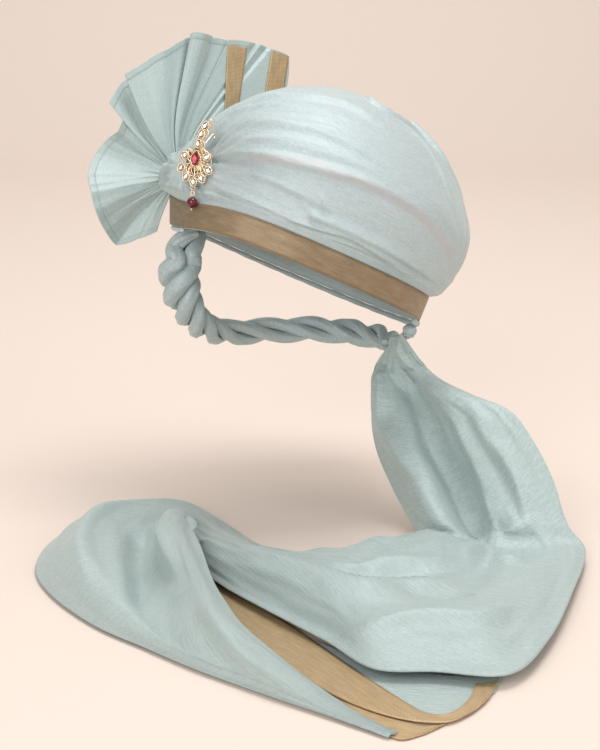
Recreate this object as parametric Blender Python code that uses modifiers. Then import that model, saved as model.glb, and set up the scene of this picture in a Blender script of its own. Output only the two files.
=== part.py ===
"""Tied turban pagri: a draped hollow crown with a zari brow band, a pleated side fan, a kalgi brooch
with a red drop, a twisted nape roll and a long tail that falls behind the left ear and lies in a loop.

Metres, +Z up. The wearer faces -Y and the wearer's left is +X. The origin is the centre of the brow
opening, where the head goes in. Angles round the brow run from +X (left) by +Y (back).
"""

import math

import bmesh
import bpy
import numpy as np
from mathutils import Matrix, Vector

MM = 0.001
GAP = 0.3 * MM

# Brow opening and crown
BRIM_HALF_WIDTH = 97 * MM
BRIM_HALF_DEPTH = 117 * MM
BRIM_TILT_BACK = 22.3
BRIM_TILT_SIDE = 14.9
CROWN_HEIGHT = 123 * MM
CROWN_WALL = 2.4 * MM
BAND_WIDTH = 20 * MM
BAND_THICK = 1.0 * MM
AROUND = 40

# Side knot and fan
KNOT_ANGLE = 197.0
KNOT_HEIGHT = 9 * MM
KNOT_RADIUS = 8 * MM
KNOT_RIBS = 14
KNOT_RINGS = 6
KNOT_GATHER = 0.07
PULL_ANGLE = 208.0
PULL_HEIGHT = 13 * MM
KNOT_PULL = 17 * MM
FAN_REACH = 135 * MM
FAN_CLOTH = 1.0 * MM
FAN_TURN = 25.0
FAN_LEAN = 15.0
FAN_SWEEP = 0.9
FAN_BAR_THICK = 1.0 * MM

# Rolled edge under the band and twisted roll round the nape
ROLL_RADIUS = 1.5 * MM
ROLL_END_RADIUS = 2.4 * MM
ROLL_TURNS = (236, 12)
ROLL_STEPS = 30
STRANDS = 3
STRAND_RADIUS = 5.0 * MM
TWIST_TURNS = 4
TWIST_STEPS = 32

# Tail
SEAT_HEIGHT = 189 * MM
TAIL_ANGLE = 28.0
TAIL_INSET = 0.84
TAIL_KNOT_RADIUS = 5.5 * MM
TAIL_KNOT_ANGLE = 22.0
TAIL_SPREAD = 100 * MM
TAIL_SWELL = 30 * MM
TAIL_CLOTH = 1.6 * MM
ZARI_THICK = 1.0 * MM
UNDER_THICK = 1.0 * MM

# Brooch and drop
STONE_LONG = 4.6 * MM
STONE_WIDE = 3.5 * MM
RED_STONE_LONG = 10.5 * MM
RED_STONE_WIDE = 7.0 * MM
STONE_SIDES = 8
RIM = 0.7 * MM
RIM_RISE = 0.7 * MM
PLATE_THICK = 1.3 * MM
WIRE = 0.55 * MM
BROOCH_LEAN = 3.0
BEAD_RADIUS = 4.1 * MM
RING_RADIUS = 1.5 * MM
RING_WIRE = 0.32 * MM
RING_SIDES = 10
BROOCH_ANGLE = 234.0
BROOCH_HEIGHT = 27 * MM
BROOCH_TURN = 8.0
PRESS_ANGLE = 246.0
PRESS_SPREAD = 16.0
PRESS_RISE = 28 * MM
BROOCH_PRESS = 8 * MM
BROOCH_BACK_LEAN = 12.0
BROOCH_STANDOFF = 15.6 * MM
DROP_CAP = [
    # radius, height below top
    (0.4 * MM, 0.0 * MM),
    (0.9 * MM, 0.5 * MM),
    (1.9 * MM, 1.1 * MM),
]
DROP_TIP = [
    # radius, height below top
    (1.5 * MM, 0.0 * MM),
    (0.9 * MM, 0.7 * MM),
    (0.4 * MM, 1.5 * MM),
]

FINISHES = {
    # colour, roughness, metallic
    "mint_tissue": ((0.50, 0.64, 0.61), 0.55, 0.0),
    "mint_tissue_sheer": ((0.56, 0.69, 0.66), 0.50, 0.0),
    "gold_zari": ((0.42, 0.27, 0.13), 0.42, 0.5),
    "gold_metal": ((0.80, 0.56, 0.24), 0.25, 1.0),
    "clear_crystal": ((0.85, 0.87, 0.86), 0.08, 0.0),
    "red_crystal": ((0.28, 0.005, 0.02), 0.08, 0.0),
}

# Dome above the brow band. Height is a share of CROWN_HEIGHT, width and depth are shares of the
# brim's half sizes, and so are the shifts of the section's centre to the left and the back.
DOME_SECTIONS = [
    # height, width, depth, left, back
    (0.03, 1.06, 1.03, 0.01, 0.01),
    (0.17, 1.13, 1.03, 0.02, 0.01),
    (0.42, 1.11, 1.04, 0.03, 0.03),
    (0.64, 0.92, 0.92, 0.03, 0.05),
    (0.82, 0.68, 0.70, 0.02, 0.07),
    (0.94, 0.38, 0.41, -0.02, 0.09),
    (0.99, 0.14, 0.16, -0.05, 0.10),
]
DOME_ROWS = 11

# Folds that run from the knot across the dome: angle and share of the way up at both ends,
# height of the fold, and half its width as a share of the way up
CROWN_FOLDS = [
    # from angle, from share, to angle, to share, height, half width
    (215, 0.20, 330, 0.08, 2.0 * MM, 0.05),
    (215, 0.32, 345, 0.22, 2.4 * MM, 0.06),
    (212, 0.44, 360, 0.38, 2.6 * MM, 0.07),
    (208, 0.56, 380, 0.53, 2.4 * MM, 0.07),
    (200, 0.70, 400, 0.70, 2.2 * MM, 0.07),
    (180, 0.30, 60, 0.20, 2.0 * MM, 0.06),
    (175, 0.52, 50, 0.45, 2.2 * MM, 0.07),
]

# Pleats of the fan, from its lower front corner over the top to its back edge. The angle is in the
# fan's plane, the reach is a share of FAN_REACH, and the lift towards the viewer a share of the reach.
FAN_PLEATS = [
    # angle, reach, lift
    (262, 0.33, 0.00),
    (248, 0.40, 0.02),
    (236, 0.49, 0.00),
    (226, 0.47, 0.06),
    (212, 0.44, 0.12),
    (196, 0.42, 0.13),
    (181, 0.43, 0.08),
    (168, 0.42, 0.01),
    (152, 0.40, -0.05),
    (132, 0.37, -0.08),
    (127, 0.51, 0.02),
    (118, 0.56, -0.03),
    (114, 0.59, -0.04),
    (111, 0.61, 0.04),
    (99, 0.65, 0.03),
    (88, 0.73, 0.02),
    (81, 0.83, -0.01),
    (78, 0.85, 0.04),
    (75, 0.86, 0.04),
    (72, 0.88, -0.02),
    (67, 0.91, 0.00),
    (62, 0.95, 0.00),
    (56, 1.00, 0.00),
    (52, 1.03, 0.00),
    (47, 1.07, 0.00),
    (37, 0.88, 0.00),
]

# Zari bars on the flat back part of the fan: angle and distance from the knot of their four corners,
# the distance as a share of FAN_REACH
FAN_BARS = {
    "fan_zari_bar_front": [(65, 0.84), (59, 0.88), (49, 0.53), (44, 0.59)],
    "fan_zari_bar_back": [(52, 1.00), (47, 1.04), (41, 0.78), (38, 0.87)],
}
FAN_ROWS = 4

# Route of the twisted roll, from the knot side down behind the right ear and round the nape to the
# tail's root: x and y as shares of the brim's half sizes, z and the strands' radius as shares of
# SEAT_HEIGHT and STRAND_RADIUS
NAPE_ROUTE = [
    # x, y, z, radius
    (-0.81, -0.20, 0.16, 0.8),
    (-0.89, -0.26, 0.03, 1.2),
    (-0.91, -0.26, -0.07, 1.2),
    (-0.89, -0.18, -0.18, 1.0),
    (-0.87, -0.02, -0.27, 0.9),
    (-0.82, 0.25, -0.34, 0.8),
    (-0.60, 0.60, -0.37, 0.8),
    (-0.25, 0.78, -0.37, 0.8),
    (0.15, 0.79, -0.37, 0.8),
    (0.45, 0.66, -0.36, 0.7),
    (0.58, 0.42, -0.345, 0.5),
]
TWIST_LOOSE = 1.25

# Falling part of the tail, from its root to where it meets the surface. Places are from the tail's
# root, as shares of TAIL_SPREAD; heights are shares of SEAT_HEIGHT above the surface the tail lies
# on; lifts towards the viewer are shares of TAIL_SWELL.
FALL_SECTIONS = [
    # left x, left y, left z, right x, right y, right z, fold lift, hollow lift, swell lift
    (-0.14, 0.00, 0.66, 0.07, -0.24, 0.735, 0.0, 0.0, 0.0),
    (-0.26, -0.02, 0.56, 0.26, -0.08, 0.57, 0.0, 0.2, 0.2),
    (-0.25, -0.08, 0.46, 0.63, -0.25, 0.53, 0.2, 0.2, 0.4),
    (-0.22, -0.17, 0.34, 0.99, -0.38, 0.50, 0.4, 0.2, 0.4),
    (-0.12, -0.30, 0.24, 1.20, -0.47, 0.41, 0.5, 0.1, 0.4),
    (0.06, -0.48, 0.15, 1.40, -0.56, 0.27, 0.5, 0.1, 0.4),
    (0.28, -0.70, 0.07, 1.56, -0.69, 0.12, 0.4, 0.2, 0.4),
    (0.46, -0.88, 0.02, 1.74, -0.80, 0.04, 0.3, 0.3, 0.4),
]

# Part of the tail that lies on the surface: it runs to the right of the wearer, turns over and comes
# back on top. Outer, valley and inner places are from the tail's root, as shares of TAIL_SPREAD, and
# the five heights across the cloth are shares of TAIL_SWELL.
FLOOR_SECTIONS = [
    # outer x, y, valley x, y, inner x, y, heights of outer, lobe, valley, crest, inner
    (0.50, -1.00, 1.08, -1.32, 1.90, -1.62, 0.02, 0.47, 0.40, 0.47, 0.27),
    (0.40, -1.13, 1.08, -1.70, 2.01, -2.53, 0.02, 0.67, 0.33, 0.60, 0.27),
    (0.31, -1.22, 1.00, -2.00, 1.96, -3.18, 0.02, 0.73, 0.30, 0.73, 0.27),
    (0.20, -1.34, 0.73, -2.15, 1.52, -3.34, 0.02, 0.73, 0.33, 0.80, 0.27),
    (0.10, -1.48, 0.53, -2.30, 1.13, -3.44, 0.03, 0.67, 0.43, 0.83, 0.24),
    (-0.06, -1.58, 0.26, -2.26, 0.66, -3.14, 0.04, 0.57, 0.57, 0.80, 0.24),
    (-0.30, -1.62, -0.14, -2.15, 0.06, -2.80, 0.04, 0.33, 0.70, 0.67, 0.24),
    (-0.58, -1.52, -0.44, -2.05, -0.36, -2.54, 0.03, 0.30, 0.60, 0.50, 0.22),
    (-0.88, -1.30, -0.80, -1.85, -0.73, -2.26, 0.02, 0.33, 0.50, 0.43, 0.27),
    (-1.18, -1.10, -1.10, -1.60, -0.92, -2.02, 0.02, 0.47, 0.43, 0.60, 0.53),
    (-1.42, -1.10, -1.27, -1.55, -0.84, -2.06, 0.02, 0.60, 0.43, 1.00, 0.80),
    (-1.80, -1.35, -1.36, -1.75, -0.74, -2.20, 0.02, 0.70, 0.40, 1.13, 0.87),
    (-2.02, -1.96, -1.32, -2.02, -0.60, -2.40, 0.02, 0.77, 0.40, 1.17, 0.90),
    (-1.86, -2.58, -1.12, -2.35, -0.40, -2.70, 0.02, 0.77, 0.37, 1.13, 0.90),
    (-1.49, -3.02, -0.82, -2.75, -0.20, -2.98, 0.02, 0.70, 0.33, 1.13, 0.87),
    (-0.92, -3.40, -0.50, -3.18, 0.02, -3.24, 0.02, 0.50, 0.30, 1.07, 0.83),
    (-0.40, -3.61, -0.22, -3.56, 0.26, -3.49, 0.02, 0.30, 0.27, 0.93, 0.77),
    (0.08, -3.79, 0.18, -3.78, 0.56, -3.68, 0.02, 0.23, 0.30, 0.73, 0.60),
    (0.63, -3.95, 0.69, -3.94, 0.90, -3.87, 0.02, 0.20, 0.30, 0.50, 0.40),
    (1.13, -4.08, 1.16, -4.07, 1.28, -4.02, 0.02, 0.08, 0.12, 0.16, 0.13),
    (1.54, -4.19, 1.55, -4.17, 1.58, -4.13, 0.01, 0.03, 0.06, 0.06, 0.06),
]
TAIL_ALONG = 51
TAIL_ACROSS = 11

# Under layer and zari borders that show in front of the tail, as places from the tail's root
UNDER_FOLD = [
    # back x, back y, front x, front y
    (0.30, -2.90, 0.22, -3.10),
    (0.80, -3.10, 0.76, -3.46),
    (1.30, -3.20, 1.22, -3.74),
    (1.60, -3.15, 1.60, -3.86),
    (1.78, -3.05, 1.80, -3.66),
    (1.84, -2.95, 1.90, -3.30),
]
ZARI_UPPER = [
    # back x, back y, front x, front y
    (-0.52, -2.34, -0.40, -2.66),
    (0.06, -2.70, 0.10, -3.12),
    (0.45, -2.97, 0.66, -3.56),
    (0.92, -3.32, 1.12, -3.83),
    (1.40, -3.66, 1.50, -3.93),
    (1.63, -3.79, 1.76, -3.88),
    (1.76, -3.74, 1.86, -3.72),
    (1.80, -3.52, 1.90, -3.46),
    (1.76, -3.26, 1.88, -3.18),
]
ZARI_LOWER = [
    # back x, back y, front x, front y
    (0.74, -3.60, 0.66, -3.76),
    (1.12, -3.80, 1.06, -3.96),
    (1.48, -3.92, 1.40, -4.08),
    (1.66, -3.94, 1.60, -4.17),
    (1.74, -3.90, 1.70, -4.06),
    (1.78, -3.86, 1.77, -3.90),
]
BORDER_ALONG = 18

# Stones of the brooch in its face: place across and up, and the turn of the stone's point
BROOCH_STONES = [
    # across, up, turn
    (0.8 * MM, 11.0 * MM, 0),
    (2.4 * MM, 18.2 * MM, -15),
    (5.0 * MM, 24.4 * MM, -35),
    (-8.6 * MM, 1.6 * MM, 70),
    (8.6 * MM, 1.6 * MM, -70),
    (-10.6 * MM, -8.0 * MM, 125),
    (-6.2 * MM, -14.4 * MM, 155),
    (0.0 * MM, -17.4 * MM, 180),
    (6.2 * MM, -14.4 * MM, 205),
    (10.6 * MM, -8.0 * MM, 235),
]

# Openwork wires of the brooch, each a smooth curve through a few places across and up
BROOCH_WIRES = [
    [(-1.7, 4.4), (-1.9, 9.5), (-0.6, 15.0), (0.6, 20.5), (3.2, 26.4), (7.4, 28.8), (10.6, 26.6), (11.0, 23.8)],
    [(1.8, 4.4), (3.6, 10.5), (4.6, 15.6), (6.6, 21.0), (8.6, 24.6)],
    [(-3.6, 3.6), (-6.0, 6.2), (-9.0, 4.6), (-11.4, 0.6), (-12.2, -4.0), (-10.6, -8.0)],
    [(3.6, 3.6), (6.0, 6.2), (9.0, 4.6), (11.4, 0.6), (12.2, -4.0), (10.6, -8.0)],
    [(-10.6, -8.0), (-8.8, -11.6), (-6.2, -14.4), (-3.2, -16.8), (0.0, -17.4)],
    [(10.6, -8.0), (8.8, -11.6), (6.2, -14.4), (3.2, -16.8), (0.0, -17.4)],
    [(-3.0, -4.0), (-6.8, -4.6), (-10.6, -8.0)],
    [(3.0, -4.0), (6.8, -4.6), (10.6, -8.0)],
    [(-2.2, -5.0), (-4.6, -9.0), (-6.2, -14.4)],
    [(2.2, -5.0), (4.6, -9.0), (6.2, -14.4)],
    [(0.0, -5.6), (0.0, -11.0), (0.0, -17.4)],
    [(-8.6, 1.6), (-5.6, -1.6), (-3.4, -3.0)],
    [(8.6, 1.6), (5.6, -1.6), (3.4, -3.0)],
    [(-1.9, 9.5), (1.0, 7.6), (3.6, 10.5)],
    [(-0.6, 15.0), (2.2, 13.6), (4.6, 15.6)],
    [(0.6, 20.5), (3.6, 21.6), (6.6, 21.0)],
]

# Pin behind the brooch, from its catch at the stem's side to its foot: across and up in mm, and
# depth in wire clearances behind the face
PIN_ROUTE = [(12.4, 16.0, 1.2), (13.0, 18.4, 0.4), (12.0, 19.6, -0.8), (9.0, 17.0, -1.0), (3.0, 6.0, -1.0),
             (0.0, -10.0, -1.0)]


def clear_scene():
    """Remove every object of the open file."""
    for thing in list(bpy.data.objects):
        bpy.data.objects.remove(thing, do_unlink=True)


def new_collection(name):
    """Return a new collection linked to the scene."""
    group = bpy.data.collections.new(name)
    bpy.context.scene.collection.children.link(group)
    return group


def finish(name):
    """Return the material of that finish, made on its first use."""
    found = bpy.data.materials.get(name)
    if found:
        return found
    colour, roughness, metallic = FINISHES[name]
    made = bpy.data.materials.new(name)
    made.use_nodes = True
    shader = made.node_tree.nodes["Principled BSDF"]
    shader.inputs["Base Color"].default_value = (*colour, 1.0)
    shader.inputs["Roughness"].default_value = roughness
    shader.inputs["Metallic"].default_value = metallic
    return made


def mesh_object(name, verts, faces, look, group):
    """Make a smooth-shaded mesh object from points and faces, with its faces pointing out."""
    mesh = bpy.data.meshes.new(name)
    mesh.from_pydata([tuple(v) for v in verts], [], faces)
    mesh.materials.append(finish(look))
    mesh.shade_smooth()
    thing = bpy.data.objects.new(name, mesh)
    group.objects.link(thing)
    return thing


def point_outwards(thing):
    """Turn the faces of a closed mesh so that they point out."""
    work = bmesh.new()
    work.from_mesh(thing.data)
    bmesh.ops.recalc_face_normals(work, faces=work.faces)
    work.to_mesh(thing.data)
    work.free()


def spline(rows, t):
    """Point at t, from 0 to 1, on a smooth curve through evenly spaced rows."""
    rows = np.asarray(rows, float)
    last = len(rows) - 1
    place = min(max(t, 0.0), 1.0) * last
    i = min(int(place), last - 1)
    f = place - i
    before = rows[i - 1] if i > 0 else 2 * rows[0] - rows[1]
    start, end = rows[i], rows[i + 1]
    after = rows[i + 2] if i + 2 <= last else 2 * rows[last] - rows[last - 1]
    slope = (end - before) * f
    bend = (2 * before - 5 * start + 4 * end - after) * f * f
    turn = (3 * start - before - 3 * end + after) * f ** 3
    return 0.5 * (2 * start + slope + bend + turn)


def loft(sections, along, across):
    """Grid of points on the smooth surface through sections of equally many points."""
    sections = np.asarray(sections, float)
    lines = np.array([spline(sections, i / (along - 1)) for i in range(along)])
    return [[spline(line, j / (across - 1)) for j in range(across)] for line in lines]


def grid_faces(rows, columns, wrap):
    """Quads of a grid of points listed row by row; wrap joins the last column to the first."""
    faces = []
    for i in range(rows - 1):
        for j in range(columns if wrap else columns - 1):
            k = (j + 1) % columns
            faces.append((i * columns + j, i * columns + k, (i + 1) * columns + k, (i + 1) * columns + j))
    return faces


def sheet(name, grid, thickness, side, look, group, wrap=False, peak=None):
    """Cloth wall: an open surface thickened to the side of its normals (1) or away from them (-1)."""
    rows, columns = len(grid), len(grid[0])
    verts = [p for row in grid for p in row]
    faces = grid_faces(rows, columns, wrap)
    if peak is not None:
        verts.append(peak)
        first = (rows - 1) * columns
        faces += [(first + j, first + (j + 1) % columns, len(verts) - 1) for j in range(columns)]
    thing = mesh_object(name, verts, faces, look, group)
    wall = thing.modifiers.new("Cloth thickness", "SOLIDIFY")
    wall.thickness = thickness
    wall.offset = side
    wall.use_rim = True
    wall.use_even_offset = True
    return thing


def tube(name, points, radii, look, group, resolution=2, closed=False):
    """Round wire or roll along a chain of points, with filled ends."""
    curve = bpy.data.curves.new(name, "CURVE")
    curve.dimensions = "3D"
    curve.bevel_depth = 1.0
    curve.bevel_resolution = resolution
    curve.use_fill_caps = not closed
    line = curve.splines.new("POLY")
    line.points.add(len(points) - 1)
    for knot, place, radius in zip(line.points, points, radii):
        knot.co = (*place, 1.0)
        knot.radius = radius
    line.use_cyclic_u = closed
    line.use_smooth = True
    curve.materials.append(finish(look))
    thing = bpy.data.objects.new(name, curve)
    group.objects.link(thing)
    return thing


def brow_turn():
    """Rotation from the level brow frame to the worn one, low at the back and the left."""
    side = Matrix.Rotation(math.radians(BRIM_TILT_SIDE), 3, "Y")
    back = Matrix.Rotation(-math.radians(BRIM_TILT_BACK), 3, "X")
    return np.array(back @ side)


def brow_point(angle, height, out):
    """Point of the brow's wall at an angle in degrees, a height above its edge and a way out."""
    a = math.radians(angle)
    x = (BRIM_HALF_WIDTH + out) * math.cos(a)
    y = (BRIM_HALF_DEPTH + out) * math.sin(a)
    return brow_turn() @ np.array((x, y, height))


def fold_height(angle, share):
    """Height of the crown's folds at an angle in degrees and a share of the way up the dome."""
    total = 0.0
    for start, low, end, high, height, half in CROWN_FOLDS:
        if end > start:
            along = ((angle - start) % 360) / (end - start)
        else:
            along = ((start - angle) % 360) / (start - end)
        if along < 1:
            off = (share - low - (high - low) * along) / half
            total += height * math.exp(-off * off) * math.sin(math.pi * along) ** 0.5
    return total


def knot_pull(angle, height):
    """How far the dome is drawn out towards the side knot, at a height above the band."""
    turn = ((angle - PULL_ANGLE + 180) % 360 - 180) / 22
    rise = (height - PULL_HEIGHT) / (2.4 * KNOT_RADIUS)
    return KNOT_PULL * math.exp(-turn * turn - rise * rise)


def brooch_press(angle, height):
    """How far the dome is pressed in behind the brooch, at a height above the band."""
    turn = ((angle - PRESS_ANGLE + 180) % 360 - 180) / PRESS_SPREAD
    rise = (height - BROOCH_HEIGHT) / PRESS_RISE
    return BROOCH_PRESS * math.exp(-turn * turn - rise * rise)


def share_at(height):
    """Share of the way up the dome where it reaches a height above the band."""
    heights = [row[0] * CROWN_HEIGHT for row in DOME_SECTIONS]
    return float(np.interp(height, heights, np.linspace(0, 1, len(heights))))


def dome_point(angle, share):
    """Point of the dome at an angle in degrees and a share of the way up from the band."""
    height, width, depth, left, back = spline(DOME_SECTIONS, share)
    a = math.radians(angle)
    level = height * CROWN_HEIGHT
    out = fold_height(angle, share) + knot_pull(angle, level) - brooch_press(angle, level)
    x = BRIM_HALF_WIDTH * (width * math.cos(a) + left) + out * math.cos(a)
    y = BRIM_HALF_DEPTH * (depth * math.sin(a) + back) + out * math.sin(a)
    z = BAND_WIDTH + CROWN_HEIGHT * height
    return brow_turn() @ np.array((x, y, z))


def crown(group):
    """Hollow crown: the wall under the band and the draped dome above it."""
    turns = [360 * j / AROUND for j in range(AROUND)]
    grid = [[brow_point(a, h, 0) for a in turns] for h in (0, BAND_WIDTH / 2, BAND_WIDTH)]
    grid += [[dome_point(a, i / (DOME_ROWS - 1)) for a in turns] for i in range(DOME_ROWS)]
    peak = np.mean(grid[-1], axis=0) + brow_turn() @ np.array((0, 0, 0.01 * CROWN_HEIGHT))
    return sheet("crown_wrap", grid, CROWN_WALL, -1, "mint_tissue", group, wrap=True, peak=peak)


def brow_band(group):
    """Zari band that lies round the crown's lower edge."""
    turns = [360 * j / AROUND for j in range(AROUND)]
    rise = BAND_WIDTH - GAP
    grid = [[brow_point(a, h, GAP) for a in turns] for h in (0, rise)]
    return sheet("zari_brow_band", grid, BAND_THICK, 1, "gold_zari", group, wrap=True)


def rolled_edge(group):
    """Thin roll of cloth that shows under the band at the knot side and behind the left ear."""
    turns = np.linspace(*ROLL_TURNS, ROLL_STEPS)
    radii = np.linspace(ROLL_RADIUS, ROLL_END_RADIUS, ROLL_STEPS)
    points = [brow_point(a, -(r + GAP), 0) for a, r in zip(turns, radii)]
    return tube("rolled_edge", points, radii, "mint_tissue", group, resolution=1)


def knot_centre():
    """Centre of the side knot, just clear of the dome."""
    wall = dome_point(KNOT_ANGLE, share_at(KNOT_HEIGHT))
    a = math.radians(KNOT_ANGLE)
    out = brow_turn() @ np.array((math.cos(a), math.sin(a), 0))
    return wall + out * (KNOT_RADIUS + 4 * GAP)


def knot(name, middle, radius, group):
    """Gathered round knot of cloth with ribs from top to bottom."""
    mesh = bpy.data.meshes.new(name)
    work = bmesh.new()
    bmesh.ops.create_uvsphere(work, u_segments=KNOT_RIBS, v_segments=KNOT_RINGS, radius=radius)
    for vert in work.verts:
        turn = math.atan2(vert.co.y, vert.co.x)
        gather = 1 - KNOT_GATHER * (0.5 + 0.5 * math.cos(turn * KNOT_RIBS / 2))
        vert.co.x *= gather
        vert.co.y *= gather
    work.to_mesh(mesh)
    work.free()
    mesh.materials.append(finish("mint_tissue"))
    mesh.shade_smooth()
    thing = bpy.data.objects.new(name, mesh)
    thing.location = middle
    group.objects.link(thing)
    return thing


def fan_axes():
    """Directions of the fan's plane: across, up, and towards the viewer."""
    turn, lean = math.radians(FAN_TURN), math.radians(FAN_LEAN)
    across = np.array((math.cos(turn), math.sin(turn), 0))
    level = np.array((math.sin(turn), -math.cos(turn), 0))
    up = np.array((0, 0, math.cos(lean))) - level * math.sin(lean)
    return across, up, np.cross(across, up)


def fan_point(angle, reach, lift, share, forward=0.0):
    """Point of the fan on the pleat line of one table row, at a share of the way to its hem."""
    across, up, front = fan_axes()
    root = KNOT_RADIUS + 2 * GAP
    a = math.radians(angle)
    radius = root + (reach * FAN_REACH - root) * share
    x, y = radius * math.cos(a), radius * math.sin(a)
    sweep = FAN_SWEEP * max(x, 0.0)
    out = lift * FAN_REACH * share - sweep + forward
    return knot_centre() + across * x + up * y + front * out


def fan_columns():
    """Table rows of the fan with one more line in the middle of each pleat face."""
    columns = []
    for a, b in zip(FAN_PLEATS, FAN_PLEATS[1:]):
        columns += [a, tuple((p + q) / 2 for p, q in zip(a, b))]
    return columns + [FAN_PLEATS[-1]]


def fan(group):
    """Pleated fan that stands out of the knot."""
    columns = fan_columns()
    shares = [i / FAN_ROWS for i in range(FAN_ROWS + 1)]
    grid = [[fan_point(*c, s) for c in columns] for s in shares]
    return sheet("side_fan", grid, FAN_CLOTH, -1, "mint_tissue_sheer", group)


def fan_bars(group):
    """Zari bars that lie on the fan from its hem down."""
    for name, corners in FAN_BARS.items():
        places = [fan_point(angle, reach, 0.0, 1.0, forward=2 * GAP) for angle, reach in corners]
        sheet(name, [places[:2], places[2:]], FAN_BAR_THICK, -1, "gold_zari", group)


def twisted_roll(group):
    """Strands of cloth twisted round each other along the nape route."""
    scale = np.array((BRIM_HALF_WIDTH, BRIM_HALF_DEPTH, SEAT_HEIGHT))
    route = [np.array(row[:3]) * scale for row in NAPE_ROUTE]
    sizes = [row[3] for row in NAPE_ROUTE]
    steps = [i / (TWIST_STEPS - 1) for i in range(TWIST_STEPS)]
    line = np.array([spline(route, t) for t in steps])
    tangents = np.gradient(line, axis=0)
    spacing = 1 / math.sin(math.pi / STRANDS)
    for strand in range(STRANDS):
        points, radii = [], []
        for t, place, tangent in zip(steps, line, tangents):
            along = tangent / np.linalg.norm(tangent)
            side = np.cross(along, (0.3, 0.2, 0.9))
            side /= np.linalg.norm(side)
            other = np.cross(along, side)
            turn = 2 * math.pi * (TWIST_TURNS * t + strand / STRANDS)
            radius = STRAND_RADIUS * float(spline(sizes, t))
            away = (radius * TWIST_LOOSE + GAP) * spacing
            points.append(place + away * (math.cos(turn) * side + math.sin(turn) * other))
            radii.append(radius)
        tube(f"nape_strand_{strand + 1}", points, radii, "mint_tissue", group, resolution=1)


def tail_root():
    """Where the tail comes out, inside the brow behind the left ear."""
    a = math.radians(TAIL_ANGLE)
    x = TAIL_INSET * BRIM_HALF_WIDTH * math.cos(a)
    y = TAIL_INSET * BRIM_HALF_DEPTH * math.sin(a)
    return np.array((x, y, 0))


def tail_knot_centre():
    """Centre of the small knot between the rolled edge's end and the tail's top corner."""
    return brow_point(TAIL_KNOT_ANGLE, -(1.8 * ROLL_END_RADIUS + TAIL_KNOT_RADIUS), -3 * MM)


def fall_section(row):
    """Five points across the falling tail, from its left edge to its right one."""
    lx, ly, lz, rx, ry, rz, fold, hollow, swell = row
    root = tail_root()
    left = root + np.array((lx * TAIL_SPREAD, ly * TAIL_SPREAD, (lz - 1) * SEAT_HEIGHT))
    right = root + np.array((rx * TAIL_SPREAD, ry * TAIL_SPREAD, (rz - 1) * SEAT_HEIGHT))
    front = np.array((0.45, -0.89, 0.25))
    shares = (0.22, 0.45, 0.72)
    inner = [left + (right - left) * s + front * lift * TAIL_SWELL
             for s, lift in zip(shares, (fold, hollow, swell))]
    return [left, *inner, right]


def floor_section(row):
    """Five points across the lying tail, from its outer edge to its inner one."""
    root = tail_root()
    outer, valley, inner = (root[:2] + np.array(row[i:i + 2]) * TAIL_SPREAD for i in (0, 2, 4))
    places = (outer, outer * 0.6 + valley * 0.4, valley, valley * 0.45 + inner * 0.55, inner)
    return [np.array((*p, h * TAIL_SWELL - SEAT_HEIGHT + TAIL_CLOTH))
            for p, h in zip(places, row[6:])]


def tail(group):
    """Tail cloth: it falls from its root, lies on the surface and turns over on itself."""
    sections = [fall_section(row) for row in FALL_SECTIONS]
    sections += [floor_section(row) for row in FLOOR_SECTIONS]
    grid = loft(sections, TAIL_ALONG, TAIL_ACROSS)
    return sheet("tail_cloth", grid, TAIL_CLOTH, 1, "mint_tissue", group)


def border(name, rows, level, thickness, look, group):
    """Flat strip of cloth or zari on the surface, its underside at a level above it."""
    root = tail_root()
    height = level - SEAT_HEIGHT
    sections = []
    for bx, by, fx, fy in rows:
        back = root[:2] + np.array((bx, by)) * TAIL_SPREAD
        front = root[:2] + np.array((fx, fy)) * TAIL_SPREAD
        sections.append([(*back, height), (*front, height)])
    grid = loft(sections, BORDER_ALONG, 2)
    return sheet(name, grid, thickness, 1, look, group)


def tail_borders(group):
    """Under layer of the tail and the two zari borders, stacked with a small gap."""
    border("tail_under_fold", UNDER_FOLD, GAP, UNDER_THICK, "mint_tissue", group)
    border("tail_zari_upper", ZARI_UPPER, UNDER_THICK + 2 * GAP, ZARI_THICK, "gold_zari", group)
    border("tail_zari_lower", ZARI_LOWER, GAP, ZARI_THICK, "gold_zari", group)


def pear(length, width, centre, turn, grow):
    """Outline of a pear-shaped stone whose point is up, turned in degrees and grown outwards."""
    points = []
    for j in range(STONE_SIDES):
        a = 2 * math.pi * j / STONE_SIDES + math.pi / 2
        narrow = 1 - 0.28 * max(math.sin(a), 0.0)
        x = (width / 2 * narrow + grow) * math.cos(a)
        y = (length / 2 + grow) * math.sin(a)
        t = math.radians(turn)
        points.append((centre[0] + x * math.cos(t) - y * math.sin(t),
                       centre[1] + x * math.sin(t) + y * math.cos(t)))
    return points


def stack(name, rings, look, group):
    """Closed solid through rings of points given as outlines and heights, capped at both ends."""
    sides = len(rings[0][0])
    verts = [(x, y, z) for outline, z in rings for x, y in outline]
    faces = grid_faces(len(rings), sides, True)
    faces.append(tuple(reversed(range(sides))))
    faces.append(tuple(range((len(rings) - 1) * sides, len(rings) * sides)))
    thing = mesh_object(name, verts, faces, look, group)
    thing.data.set_sharp_from_angle(angle=math.radians(25))
    point_outwards(thing)
    return thing


def seat_height():
    """Height of the stones' seats above the brooch's back, level with the top of the wires."""
    return PLATE_THICK / 2 + WIRE


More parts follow.
